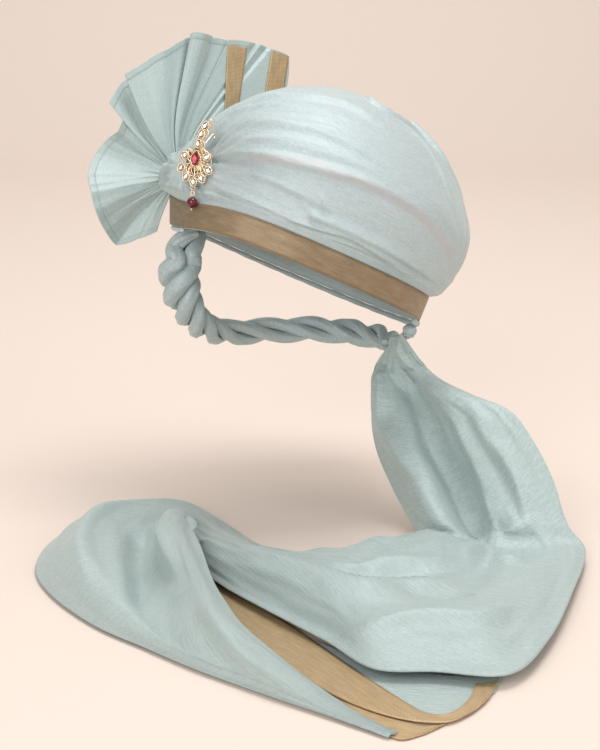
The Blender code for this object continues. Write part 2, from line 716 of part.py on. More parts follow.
def stone(name, length, width, place, turn, look, group):
    """Faceted stone with a table, a girdle and a flat back, seated in its collet."""
    floor = seat_height() + GAP
    rings = [
        (pear(length, width, place, turn, -GAP - 0.25 * width), floor),
        (pear(length, width, place, turn, -GAP), floor + 0.20 * width),
        (pear(length, width, place, turn, -GAP - 0.04 * width), floor + 0.28 * width),
        (pear(length, width, place, turn, -GAP - 0.20 * width), floor + 0.42 * width),
    ]
    return stack(name, rings, look, group)


def collet(name, length, width, place, turn, group):
    """Open gold seat with a rim round a stone."""
    floor = seat_height()
    top = floor + RIM_RISE
    rings = [
        (pear(length, width, place, turn, RIM * 0.6), 0.0),
        (pear(length, width, place, turn, RIM), top * 0.5),
        (pear(length, width, place, turn, RIM * 0.7), top),
        (pear(length, width, place, turn, 0.0), top),
        (pear(length, width, place, turn, 0.0), floor),
    ]
    return stack(name, rings, "gold_metal", group)


def as_mesh(thing, group):
    """Make a curve object a welded mesh object of the same name and place, in that collection."""
    bpy.context.view_layer.update()
    graph = bpy.context.evaluated_depsgraph_get()
    mesh = bpy.data.meshes.new_from_object(thing.evaluated_get(graph))
    work = bmesh.new()
    work.from_mesh(mesh)
    bmesh.ops.remove_doubles(work, verts=work.verts, dist=1e-6)
    bmesh.ops.recalc_face_normals(work, faces=work.faces)
    work.to_mesh(mesh)
    work.free()
    name = thing.name
    made = bpy.data.objects.new(name + "_mesh", mesh)
    made.matrix_world = thing.matrix_world.copy()
    bpy.data.objects.remove(thing, do_unlink=True)
    made.name = name
    group.objects.link(made)
    return made


def solder(base, pieces):
    """Fuse every object of a collection to the base, which keeps its name."""
    for piece in pieces.objects:
        piece.hide_render = True
        piece.display_type = "WIRE"
    join = base.modifiers.new("Solder", "BOOLEAN")
    join.operation = "UNION"
    join.operand_type = "COLLECTION"
    join.collection = pieces
    join.solver = "EXACT"
    join.use_self = True


def ring_points(radius):
    """Places on a ring in its own plane."""
    turns = [2 * math.pi * j / RING_SIDES for j in range(RING_SIDES)]
    return [(radius * math.cos(t), radius * math.sin(t)) for t in turns]


def ring(name, points, group):
    """Closed ring of thin gold wire."""
    return tube(name, points, [RING_WIRE] * RING_SIDES, "gold_metal", group, 1, closed=True)


def turned(name, profile, top, look, group):
    """Small solid turned about the drop's axis: rows of radius and height below the top."""
    rows = [(0.0, profile[0][1]), *profile, (0.0, profile[-1][1])]
    mesh = bpy.data.meshes.new(name)
    mesh.from_pydata([(r, 0.0, -h) for r, h in rows], [(i, i + 1) for i in range(len(rows) - 1)], [])
    mesh.transform(Matrix.Translation((0, top, 0)) @ Matrix.Rotation(-math.pi / 2, 4, "X"))
    mesh.materials.append(finish(look))
    thing = bpy.data.objects.new(name, mesh)
    group.objects.link(thing)
    turn = thing.modifiers.new("Turned profile", "SCREW")
    turn.axis = "Y"
    turn.steps = RING_SIDES
    turn.render_steps = RING_SIDES
    turn.use_merge_vertices = True
    turn.merge_threshold = 0.00001
    return thing


def bail_height():
    """Height in the brooch's face of the middle of its bail, under the lowest stone's seat."""
    lowest = min(up for across, up, turn in BROOCH_STONES) - STONE_LONG / 2 - RIM
    return lowest - RING_RADIUS + RING_WIRE


def brooch_mount(group):
    """Empty that holds the brooch: its face is the XY plane of the empty."""
    mount = bpy.data.objects.new("brooch_mount", None)
    group.objects.link(mount)
    wall = Vector(dome_point(BROOCH_ANGLE, share_at(BROOCH_HEIGHT)))
    turn = Matrix.Rotation(math.radians(BROOCH_TURN), 4, "Z")
    stand = Matrix.Rotation(math.radians(90 - BROOCH_BACK_LEAN), 4, "X")
    lean = Matrix.Rotation(-math.radians(BROOCH_LEAN), 4, "Z")
    frame = turn @ stand @ lean
    mount.matrix_world = Matrix.Translation(wall + frame.to_3x3() @ Vector((0, 0, BROOCH_STANDOFF))) @ frame
    return mount


def brooch_frame(group, mount):
    """Gold openwork of the brooch, soldered into one solid with its stone seats and its bail."""
    pieces = new_collection("brooch_solder")
    middle = PLATE_THICK / 2
    base = collet("brooch_frame", RED_STONE_LONG, RED_STONE_WIDE, (0, 0), 0, group)
    solids = [base]
    for i, (x, y, turn) in enumerate(BROOCH_STONES):
        solids.append(collet(f"collet_{i + 1}", STONE_LONG, STONE_WIDE, (x, y), turn, pieces))
    for i, route in enumerate(BROOCH_WIRES):
        steps = 2 * len(route) - 1
        line = [spline(route, k / (steps - 1)) * MM for k in range(steps)]
        points = [(x, y, middle) for x, y in line]
        wire = tube(f"scroll_{i + 1}", points, [WIRE] * steps, "gold_metal", pieces, 1)
        solids.append(as_mesh(wire, pieces))
    bail = [(x, y + bail_height(), middle) for x, y in ring_points(RING_RADIUS)]
    solids.append(as_mesh(ring("bail", bail, pieces), pieces))
    for solid in solids:
        solid.parent = mount
    solder(base, pieces)


def brooch_stones(group, mount):
    """Red pear stone and the clear stones round it."""
    red = stone("red_pear_stone", RED_STONE_LONG, RED_STONE_WIDE, (0, 0), 0, "red_crystal", group)
    red.parent = mount
    for i, (x, y, turn) in enumerate(BROOCH_STONES):
        gem = stone(f"clear_stone_{i + 1}", STONE_LONG, STONE_WIDE, (x, y), turn, "clear_crystal", group)
        gem.parent = mount


def brooch_pin(group, mount):
    """Plain pin behind the brooch, whose catch hooks out past the stem's edge."""
    steps = 16
    line = [spline(PIN_ROUTE, k / (steps - 1)) for k in range(steps)]
    points = [(x * MM, y * MM, z * (WIRE + GAP)) for x, y, z in line]
    pin = tube("brooch_pin", points, [WIRE * 0.8] * steps, "gold_metal", group, 1)
    pin.parent = mount


def drop(group, mount):
    """Jump ring, eye cap, red bead and tip cap that hang from the brooch's bail."""
    hang = bpy.data.objects.new("drop_mount", None)
    group.objects.link(hang)
    hang.parent = mount
    hang.location = (0, bail_height(), PLATE_THICK / 2)
    hang.rotation_euler = (0, 0, math.radians(BROOCH_LEAN))
    step = 2 * RING_RADIUS - 2 * RING_WIRE - GAP
    link = ring("jump_ring", [(0, y - step, x) for x, y in ring_points(RING_RADIUS)], group)
    pieces = new_collection("drop_solder")
    eye = as_mesh(ring("eye", [(x, y - 2 * step, 0) for x, y in ring_points(RING_RADIUS)], pieces), pieces)
    cap_top = -2 * step - RING_RADIUS + RING_WIRE
    cap = turned("drop_cap", DROP_CAP, cap_top, "gold_metal", group)
    bead_middle = cap_top - DROP_CAP[-1][1] - BEAD_RADIUS
    mesh = bpy.data.meshes.new("red_bead")
    work = bmesh.new()
    bmesh.ops.create_uvsphere(work, u_segments=14, v_segments=9, radius=BEAD_RADIUS)
    bmesh.ops.rotate(work, verts=work.verts, matrix=Matrix.Rotation(math.pi / 2, 3, "X"))
    work.to_mesh(mesh)
    work.free()
    mesh.materials.append(finish("red_crystal"))
    mesh.shade_smooth()
    bead = bpy.data.objects.new("red_bead", mesh)
    group.objects.link(bead)
    bead.location = (0, bead_middle - GAP, 0)
    tip = turned("drop_tip", DROP_TIP, bead_middle - BEAD_RADIUS - 2 * GAP, "gold_metal", group)
    for piece in (link, eye, cap, bead, tip):
        piece.parent = hang
    solder(cap, pieces)


def main():
    """Build the pagri in an empty scene."""
    clear_scene()
    group = new_collection("tied_turban_pagri")
    crown(group)
    brow_band(group)
    rolled_edge(group)
    knot("side_knot", knot_centre(), KNOT_RADIUS, group)
    knot("tail_knot", tail_knot_centre(), TAIL_KNOT_RADIUS, group)
    fan(group)
    fan_bars(group)
    twisted_roll(group)
    tail(group)
    tail_borders(group)
    mount = brooch_mount(group)
    brooch_frame(group, mount)
    brooch_stones(group, mount)
    brooch_pin(group, mount)
    drop(group, mount)
    bpy.context.view_layer.update()


main()
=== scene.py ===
"""Dressed model of the tied turban pagri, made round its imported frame.

Metres, +Z up. The wearer faces -Y and the wearer's left is +X. Angles round the brow are in degrees
and run from +X (left) by +Y (back). Each sub-assembly is a class that holds its own sizes.
"""

import logging
import math
from dataclasses import dataclass, field, replace
from enum import Enum
from typing import Any, Sequence

import bmesh
import bpy
import numpy as np
from mathutils import Matrix, Vector


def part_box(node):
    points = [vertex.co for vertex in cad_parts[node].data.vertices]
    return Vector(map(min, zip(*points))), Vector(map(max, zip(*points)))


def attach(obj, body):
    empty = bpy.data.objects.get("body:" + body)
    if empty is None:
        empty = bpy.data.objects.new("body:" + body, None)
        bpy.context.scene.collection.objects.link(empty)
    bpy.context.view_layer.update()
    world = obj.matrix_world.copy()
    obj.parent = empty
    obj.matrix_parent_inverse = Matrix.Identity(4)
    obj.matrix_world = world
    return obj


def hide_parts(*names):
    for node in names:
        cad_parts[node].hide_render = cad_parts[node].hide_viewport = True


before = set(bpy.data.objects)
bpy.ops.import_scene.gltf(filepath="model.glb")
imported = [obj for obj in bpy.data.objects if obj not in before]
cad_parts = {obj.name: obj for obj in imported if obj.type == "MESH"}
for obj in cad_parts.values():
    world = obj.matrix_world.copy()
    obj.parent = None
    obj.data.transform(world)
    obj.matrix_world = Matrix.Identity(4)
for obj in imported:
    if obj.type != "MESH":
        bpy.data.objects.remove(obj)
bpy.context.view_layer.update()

LOG = logging.getLogger("pagri")
MM = 0.001
GAP = 0.3 * MM

# Odd numbers that scatter the noise: for its two places, its seed and its last mix
SCATTER_X = 374761393
SCATTER_Y = 668265263
SCATTER_SEED = 974634777
SCATTER_END = 1274126177
MASK = 0xFFFFFFFF

# How every crease is drawn: gain of its height, reach of its sides, and the dip beside it
CREASE_GAIN = 1.35
CREASE_REACH = 3.2
DIP_SHARE = 0.3
DIP_PLACE = 1.9

Rows = Sequence[Sequence[float]]
Grid = np.ndarray


# Sizes that several sub-assemblies share
@dataclass(frozen=True)
class Sizes:
    """Sizes of the brow, the dome and the seat that the other pieces are set against."""

    half_width: float = 97 * MM
    half_depth: float = 117 * MM
    tilt_back: float = 22.3
    tilt_side: float = 14.9
    crown_height: float = 123 * MM
    band_width: float = 20 * MM
    seat: float = 189 * MM
    knot_angle: float = 197.0
    knot_height: float = 9 * MM
    knot_radius: float = 8 * MM
    pull_angle: float = 208.0
    pull_height: float = 13 * MM
    knot_pull: float = 17 * MM
    pull_spread: float = 22.0
    pull_rise: float = 2.4
    press_angle: float = 246.0
    press_spread: float = 16.0
    press_rise: float = 28 * MM
    brooch_height: float = 27 * MM
    brooch_press: float = 8 * MM
    sag: float = 7 * MM
    sag_angle: float = 225.0
    sag_spread: float = 30.0
    flare: float = 13 * MM
    flare_angle: float = 202.0
    flare_spread: float = 17.0
    flare_low: float = 0.3
    roll_end: float = 2.4 * MM
    tail_knot_radius: float = 5.5 * MM
    tail_knot_angle: float = 22.0
    tail_knot_in: float = 3 * MM
    cloth_folds: float = 0.55
    cloth_low: float = 0.10


SIZES = Sizes()

# Dome above the band: height, width, depth, shift left and shift back, as shares
DOME_SECTIONS = (
    (0.03, 1.06, 1.03, 0.01, 0.01),
    (0.17, 1.13, 1.03, 0.02, 0.01),
    (0.42, 1.11, 1.04, 0.03, 0.03),
    (0.64, 0.92, 0.92, 0.03, 0.05),
    (0.82, 0.68, 0.70, 0.02, 0.07),
    (0.94, 0.38, 0.41, -0.02, 0.09),
    (0.99, 0.14, 0.16, -0.05, 0.10),
)

# Broad folds of the dome: from angle and share, to angle and share, height in mm, half width
CROWN_FOLDS = (
    (215, 0.20, 330, 0.08, 2.0, 0.05),
    (215, 0.32, 345, 0.22, 2.4, 0.06),
    (212, 0.44, 360, 0.38, 2.6, 0.07),
    (208, 0.56, 380, 0.53, 2.4, 0.07),
    (200, 0.70, 400, 0.70, 2.2, 0.07),
    (180, 0.30, 60, 0.20, 2.0, 0.06),
    (175, 0.52, 50, 0.45, 2.2, 0.07),
)


# Curves, noise and cloth grids
def smooth_rows(rows: Any, places: Any) -> np.ndarray:
    """Points on the smooth curve through evenly spaced rows.

    Args:
        rows: Rows of numbers that the curve goes through.
        places: Places along the curve, from 0 to 1.

    Returns:
        One row for each place.
    """
    rows = np.asarray(rows, float)
    last = len(rows) - 1
    spots = np.clip(np.asarray(places, float), 0.0, 1.0) * last
    start = np.minimum(spots.astype(int), last - 1)
    ahead = np.concatenate([[2 * rows[0] - rows[1]], rows, [2 * rows[last] - rows[last - 1]]])
    f = (spots - start).reshape(-1, *[1] * (rows.ndim - 1))
    before, here, after, beyond = (ahead[start + k] for k in range(4))
    slope = (after - before) * f
    bend = (2 * before - 5 * here + 4 * after - beyond) * f * f
    turn = (3 * here - before - 3 * after + beyond) * f ** 3
    return 0.5 * (2 * here + slope + bend + turn)


def loft(sections: Any, along: np.ndarray, across: np.ndarray) -> Grid:
    """Grid of points on the smooth surface through sections of equally many points.

    Args:
        sections: Sections one after another, each a row of points.
        along: Places from the first section to the last one, from 0 to 1.
        across: Places from the first point of a section to its last one, from 0 to 1.

    Returns:
        Points as an array of rows, columns and 3.
    """
    lines = smooth_rows(np.asarray(sections, float), along)
    return smooth_rows(lines.transpose(1, 0, 2), across).transpose(1, 0, 2)


def ease(low: float, high: float, value: Any) -> Any:
    """Soft step from 0 at low to 1 at high."""
    t = np.clip((value - low) / (high - low), 0.0, 1.0)
    return t * t * (3 - 2 * t)


def rumple(x: Any, y: Any, seed: int) -> Any:
    """Smooth seeded noise between -1 and 1.

    Args:
        x: First place, one bump to a unit.
        y: Second place, one bump to a unit.
        seed: Number that tells one pattern from another.

    Returns:
        The noise at each place.
    """
    x, y = np.broadcast_arrays(np.asarray(x, float), np.asarray(y, float))
    xi, yi = np.floor(x).astype(np.int64), np.floor(y).astype(np.int64)
    fx, fy = x - xi, y - yi
    fx, fy = (f * f * f * (f * (f * 6 - 15) + 10) for f in (fx, fy))

    def corner(i: np.ndarray, j: np.ndarray) -> np.ndarray:
        """Seeded value at a corner of the noise's lattice."""
        n = (i * SCATTER_X + j * SCATTER_Y + seed * SCATTER_SEED) & MASK
        n = ((n ^ (n >> 13)) * SCATTER_END) & MASK
        return ((n ^ (n >> 16)) & 0xFFFF) / 32767.5 - 1

    low = corner(xi, yi) * (1 - fx) + corner(xi + 1, yi) * fx
    high = corner(xi, yi + 1) * (1 - fx) + corner(xi + 1, yi + 1) * fx
    return low * (1 - fy) + high * fy


def tuck(x: Any, y: Any, seed: int) -> Any:
    """Noise of sharp little ridges between 0 and 1, as gathered cloth has."""
    return (1 - np.abs(rumple(x, y, seed))) ** 2


def unit(vectors: np.ndarray) -> np.ndarray:
    """The same directions, each with a length of 1."""
    return vectors / np.linalg.norm(vectors, axis=-1, keepdims=True)


def way_along(line: np.ndarray) -> np.ndarray:
    """Metres from the first point of a line to each of its points."""
    return np.concatenate([[0], np.cumsum(np.linalg.norm(np.diff(line, axis=0), axis=1))])


@dataclass(frozen=True)
class Crease:
    """One soft fold of cloth.

    The route is given in the surface's own two places. The height above the cloth and the widths are
    in millimetres, and the upper side lies to the left of the route. The last two are the shares of
    the route over which the fold rises and fades.
    """

    route: tuple[tuple[float, float], ...]
    height: float
    upper: float
    lower: float
    start: float = 0.15
    end: float = 0.35


class Cloth:
    """Grid of points of one cloth surface, whose normals are on the side that shows."""

    def __init__(self, points: Grid, wrap: bool = False) -> None:
        """Keep the points.

        Args:
            points: Array of rows, columns and 3.
            wrap: Whether the last column joins the first.
        """
        self.points = points
        self.wrap = wrap

    def normals(self) -> Grid:
        """Unit normal at each point."""
        grid = self.points
        if self.wrap:
            across = np.roll(grid, -1, axis=1) - np.roll(grid, 1, axis=1)
        else:
            across = np.gradient(grid, axis=1)
        found = np.cross(across, np.gradient(grid, axis=0))
        size = np.linalg.norm(found, axis=2, keepdims=True)
        return found / np.maximum(size, 1e-12)

    def raised(self, height: Any) -> "Cloth":
        """The cloth with every point moved along its normal by a height."""
        lift = np.broadcast_to(np.asarray(height, float), self.points.shape[:2])
        return Cloth(self.points + self.normals() * lift[..., None], self.wrap)

    def creased(self, creases: Sequence[Crease], place: Any) -> np.ndarray:
        """Height of all the creases at each point.

        Args:
            creases: Folds, with their routes in the surface's own places.
            place: Function from arrays of the two places to points.

        Returns:
            Heights as an array of rows and columns.
        """
        normals = self.normals().reshape(-1, 3)
        flat = self.points.reshape(-1, 3)
        total = np.zeros(len(flat))
        for crease in creases:
            steps = np.linspace(0, 1, 10 * len(crease.route))
            route = smooth_rows(crease.route, steps)
            line = place(route[:, 0], route[:, 1])
            ways = unit(np.gradient(line, axis=0))
            upper, lower = crease.upper * MM, crease.lower * MM
            wide = max(upper, lower) * CREASE_REACH
            low, high = line.min(axis=0) - wide, line.max(axis=0) + wide
            near = np.nonzero(((flat > low) & (flat < high)).all(axis=1))[0]
            if not len(near):
                continue
            apart = flat[near][:, None, :] - line[None]
            best = (apart ** 2).sum(axis=2).argmin(axis=1)
            gap = apart[np.arange(len(near)), best]
            way = ways[best]
            along = (gap * way).sum(axis=1)
            side = np.cross(normals[near], way)
            off = (gap * side).sum(axis=1)
            ridge = np.exp(-np.abs(off / np.where(off > 0, upper, lower)) ** 1.5)
            dip = DIP_SHARE * np.exp(-((off + DIP_PLACE * lower) / lower) ** 2)
            past = np.where((best == 0) | (best == len(steps) - 1), np.abs(along), 0.0)
            fade = ease(0, crease.start, steps[best]) * ease(0, crease.end, 1 - steps[best])
            fade *= np.exp(-(past / wide * 3) ** 2)
            total[near] += CREASE_GAIN * crease.height * MM * (ridge - dip) * fade
        return total.reshape(self.points.shape[:2])

    def lengths(self) -> np.ndarray:
        """Places on the flat cloth in metres: the way along each row and along each column."""
        grid = self.points
        if self.wrap:
            grid = np.concatenate([grid, grid[:, :1]], axis=1)
        across = np.linalg.norm(np.diff(grid, axis=1), axis=2)
        u = np.concatenate([np.zeros((len(grid), 1)), np.cumsum(across, axis=1)], axis=1)
        u -= u[:, -1:] / 2
        along = np.linalg.norm(np.diff(grid, axis=0), axis=2)
        v = np.concatenate([np.zeros((1, grid.shape[1])), np.cumsum(along, axis=0)], axis=0)
        return np.stack([u, v], axis=2)

    def turned_lengths(self) -> np.ndarray:
        """Places on the flat cloth with the way along first and the way across from the first edge."""
        flat = self.lengths()
        flat[..., 0] -= flat[:, :1, 0]
        return flat[..., ::-1]

    def piece(self, name: str, thickness: float, flat: np.ndarray | None = None,
              peak: np.ndarray | None = None) -> bpy.types.Object:
        """Make the cloth wall as an object.

        Args:
            name: Name of the piece.
            thickness: Thickness of the wall behind the side that shows, or 0 for none.
            flat: Places on the flat cloth, with one more column where the grid wraps.
            peak: Point that closes the last row, or None.

        Returns:
            The new object, with its flat places as a UV map.
        """
        rows, columns = self.points.shape[:2]
        flat = self.lengths() if flat is None else flat
        spans = columns if self.wrap else columns - 1
        i, j = np.meshgrid(np.arange(rows - 1), np.arange(spans), indexing="ij")
        i, j = i.ravel(), j.ravel()
        k = (j + 1) % columns
        low, high = i * columns, (i + 1) * columns
        faces = np.stack([low + j, low + k, high + k, high + j], axis=1)
        marks = np.stack([flat[i, j], flat[i, j + 1], flat[i + 1, j + 1], flat[i + 1, j]], axis=1)
        verts = self.points.reshape(-1, 3)
        face_rows = faces.tolist()
        mark_rows = marks.reshape(-1, 2).tolist()
        if peak is not None:
            verts = np.concatenate([verts, [peak]])
            first = (rows - 1) * columns
            for c in range(columns):
                face_rows.append([first + c, first + (c + 1) % columns, len(verts) - 1])
                mark_rows += [flat[-1, c].tolist(), flat[-1, c + 1].tolist(), flat[-1, c].tolist()]
        return mesh_piece(name, verts, face_rows, mark_rows, thickness)


def linked(name: str, data: Any) -> bpy.types.Object:
    """New object of some data, put in the scene."""
    thing = bpy.data.objects.new(name, data)
    bpy.context.scene.collection.objects.link(thing)
    return thing


def closed(thing: bpy.types.Object) -> bpy.types.Object:
    """Close the open ends of a piece, turn its faces outwards and return it."""
    work = bmesh.new()
    work.from_mesh(thing.data)
    bmesh.ops.holes_fill(work, edges=[edge for edge in work.edges if edge.is_boundary], sides=0)
    bmesh.ops.recalc_face_normals(work, faces=work.faces)
    work.to_mesh(thing.data)
    work.free()
    return thing


def mesh_piece(name: str, verts: Any, faces: list[list[int]], marks: list[list[float]] | None = None,
               thickness: float = 0.0) -> bpy.types.Object:
    """Make a smooth mesh object.

    Args:
        name: Name of the piece.
        verts: Points.
        faces: Faces as lists of point numbers.
        marks: Flat place of each face corner, or None for no UV map.
        thickness: Thickness of a wall behind the faces, or 0 for none.

    Returns:
        The new object.
    """
    mesh = bpy.data.meshes.new(name)
    mesh.from_pydata([tuple(v) for v in verts], [], faces)
    if marks is not None:
        layer = mesh.uv_layers.new(name="flat_cloth")
        layer.data.foreach_set("uv", np.asarray(marks, float).ravel())
    mesh.shade_smooth()
    thing = linked(name, mesh)
    if thickness:
        wall = thing.modifiers.new("Cloth wall", "SOLIDIFY")
        wall.thickness = thickness
        wall.offset = -1
        wall.use_rim = True
    return thing


def roll_piece(name: str, line: Grid, radii: Any, sides: int, crease: Any) -> bpy.types.Object:
    """Make a creased roll of cloth along a line.

    Args:
        name: Name of the piece.
        line: Points of the roll's middle.
        radii: Radius at each point.
        sides: Number of sides.
        crease: Function from the turn in radians and the share of the way to a share of the radius.

    Returns:
        The new object, closed at both ends.
    """
    steps = len(line)
    ways = unit(np.gradient(line, axis=0))
    side = np.zeros_like(line)
    side[0] = unit(np.cross(ways[0], (0.31, 0.22, 0.92)))
    for i in range(1, steps):
        side[i] = unit(side[i - 1] - ways[i] * np.dot(side[i - 1], ways[i]))
    other = np.cross(ways, side)
    turns = 2 * math.pi * np.arange(sides) / sides
    share = np.linspace(0, 1, steps)
    size = np.asarray(radii, float)[:, None] * crease(turns[None, :], share[:, None])
    out = np.cos(turns)[None, :, None] * side[:, None] + np.sin(turns)[None, :, None] * other[:, None]
    cloth = Cloth(line[:, None] + out * size[..., None], wrap=True)
    u = np.broadcast_to(np.append(turns, 2 * math.pi) * float(np.mean(radii)), (steps, sides + 1))
    flat = np.stack([u, np.broadcast_to(way_along(line)[:, None], u.shape)], axis=2)
    return closed(cloth.piece(name, 0.0, flat))


# Places on the brow and the dome
def worn() -> np.ndarray:
    """Rotation from the level brow frame to the worn one, low at the back and the left."""
    side = Matrix.Rotation(math.radians(SIZES.tilt_side), 3, "Y")
    back = Matrix.Rotation(-math.radians(SIZES.tilt_back), 3, "X")
    return np.array(back @ side)


WORN = worn()
UP = WORN @ np.array((0, 0, 1.0))


def worn_way(angle: float) -> np.ndarray:
    """Level direction out from the brow at an angle in degrees, as worn."""
    a = math.radians(angle)
    return WORN @ np.array((math.cos(a), math.sin(a), 0))


def brow_place(angle: Any, height: Any, out: Any) -> np.ndarray:
    """Points of the brow's wall.

    Args:
        angle: Angle in degrees.
        height: Height above the brow's edge.
        out: Way out from the wall.

    Returns:
        Points as an array that ends in 3.
    """
    angle, height, out = np.broadcast_arrays(*(np.asarray(v, float) for v in (angle, height, out)))
    height = height - brow_sag(angle)
    a = np.radians(angle)
    x = (SIZES.half_width + out) * np.cos(a)
    y = (SIZES.half_depth + out) * np.sin(a)
    return np.stack([x, y, height], axis=-1) @ WORN.T


def brow_sag(angle: Any) -> Any:
    """How far the brow's edge hangs lower below the brooch."""
    return SIZES.sag * np.exp(-(turn_apart(angle, SIZES.sag_angle) / SIZES.sag_spread) ** 2)


def band_flare(angle: Any, height: Any) -> Any:
    """How far the wall and the band stand out below the gather, most at their top edge."""
    turn = turn_apart(angle, SIZES.flare_angle) / SIZES.flare_spread
    rise = SIZES.flare_low + (1 - SIZES.flare_low) * np.clip(height / SIZES.band_width, 0, 1)
    return SIZES.flare * np.exp(-turn ** 2) * rise


def turn_apart(angle: Any, middle: float) -> Any:
    """Signed degrees from a middle angle."""
    return (angle - middle + 180) % 360 - 180


def fold_height(angle: Any, share: Any) -> Any:
    """Height of the dome's broad folds."""
    total = np.zeros(np.broadcast(angle, share).shape)
    for start, low, end, high, height, half in CROWN_FOLDS:
        sign = 1 if end > start else -1
        along = ((sign * (angle - start)) % 360) / abs(end - start)
        off = (share - low - (high - low) * along) / half
        shape = height * MM * np.exp(-off * off) * np.sin(math.pi * np.clip(along, 0, 1)) ** 0.5
        total = total + np.where(along < 1, shape, 0.0)
    return total


def dome_place(angle: Any, share: Any, folds: float = SIZES.cloth_folds) -> np.ndarray:
    """Points of the dome.

    Args:
        angle: Angle in degrees.
        share: Share of the way up from the band.
        folds: Share of the broad folds' height.

    Returns:
        Points as an array that ends in 3.
    """
    angle, share = np.broadcast_arrays(np.asarray(angle, float), np.asarray(share, float))
    rows = smooth_rows(DOME_SECTIONS, share.ravel()).reshape(*share.shape, 5)
    height, width, depth, left, back = (rows[..., k] for k in range(5))
    a = np.radians(angle)
    level = height * SIZES.crown_height
    pull_turn = turn_apart(angle, SIZES.pull_angle) / SIZES.pull_spread
    pull_rise = (level - SIZES.pull_height) / (SIZES.pull_rise * SIZES.knot_radius)
    press_turn = turn_apart(angle, SIZES.press_angle) / SIZES.press_spread
    press_rise = (level - SIZES.brooch_height) / SIZES.press_rise
    out = folds * fold_height(angle, share)
    out = out + SIZES.knot_pull * np.exp(-pull_turn ** 2 - pull_rise ** 2)
    out = out - SIZES.brooch_press * np.exp(-press_turn ** 2 - press_rise ** 2)
    x = SIZES.half_width * (width * np.cos(a) + left) + out * np.cos(a)
    y = SIZES.half_depth * (depth * np.sin(a) + back) + out * np.sin(a)
    z = SIZES.band_width + SIZES.crown_height * height
    return np.stack([x, y, z], axis=-1) @ WORN.T


def dome_cloth(angle: Any, share: Any) -> np.ndarray:
    """Points of the dome's cloth, which hangs lower with the brow's edge."""
    low = brow_sag(angle) * np.exp(-(share / SIZES.cloth_low) ** 2)
    return dome_place(angle, share) - low[..., None] * UP


def share_at(height: float) -> float:
    """Share of the way up the dome where it reaches a height above the band."""
    heights = [row[0] * SIZES.crown_height for row in DOME_SECTIONS]
    return float(np.interp(height, heights, np.linspace(0, 1, len(heights))))


def knot_middle() -> np.ndarray:
    """Centre of the side knot, just clear of the dome."""
    wall = dome_place(SIZES.knot_angle, share_at(SIZES.knot_height), folds=1.0)
    return wall + worn_way(SIZES.knot_angle) * (SIZES.knot_radius + 4 * GAP)


def tail_knot_middle() -> np.ndarray:
    """Centre of the small knot between the rolled edge's end and the tail."""
    below = 1.8 * SIZES.roll_end + SIZES.tail_knot_radius
    return brow_place(SIZES.tail_knot_angle, -below, -SIZES.tail_knot_in)


# Shader maths
class Value:
    """Shader socket that takes part in plain arithmetic."""

    def __init__(self, graph: "Graph", socket: bpy.types.NodeSocket) -> None:
        """Keep the socket and its graph."""
        self.graph = graph
        self.socket = socket

    def maths(self, operation: str, first: Any, second: Any = None, clamp: bool = False) -> "Value":
        """Add one Math node.

        Args:
            operation: Operation of the node.
            first: First number or value.
            second: Second number or value, or None.
            clamp: Whether the result is kept from 0 to 1.

        Returns:
            The node's result.
        """
        values = {0: first} if second is None else {0: first, 1: second}
        settings = {"operation": operation, "use_clamp": clamp}
        return self.graph.node("ShaderNodeMath", settings, values)

    def __add__(self, other: Any) -> "Value":
        """This plus another."""
        return self.maths("ADD", self, other)

    __radd__ = __add__

    def __sub__(self, other: Any) -> "Value":
        """This less another."""
        return self.maths("SUBTRACT", self, other)

    def __rsub__(self, other: Any) -> "Value":
        """Another less this."""
        return self.maths("SUBTRACT", other, self)

    def __mul__(self, other: Any) -> "Value":
        """This times another."""
        return self.maths("MULTIPLY", self, other)

    __rmul__ = __mul__

    def sine(self) -> "Value":
        """Sine of this."""
        return self.maths("SINE", self)

    def size(self) -> "Value":
        """Absolute value of this."""
        return self.maths("ABSOLUTE", self)

    def clamped(self) -> "Value":
        """This kept from 0 to 1."""
        return self.maths("ADD", self, 0.0, clamp=True)


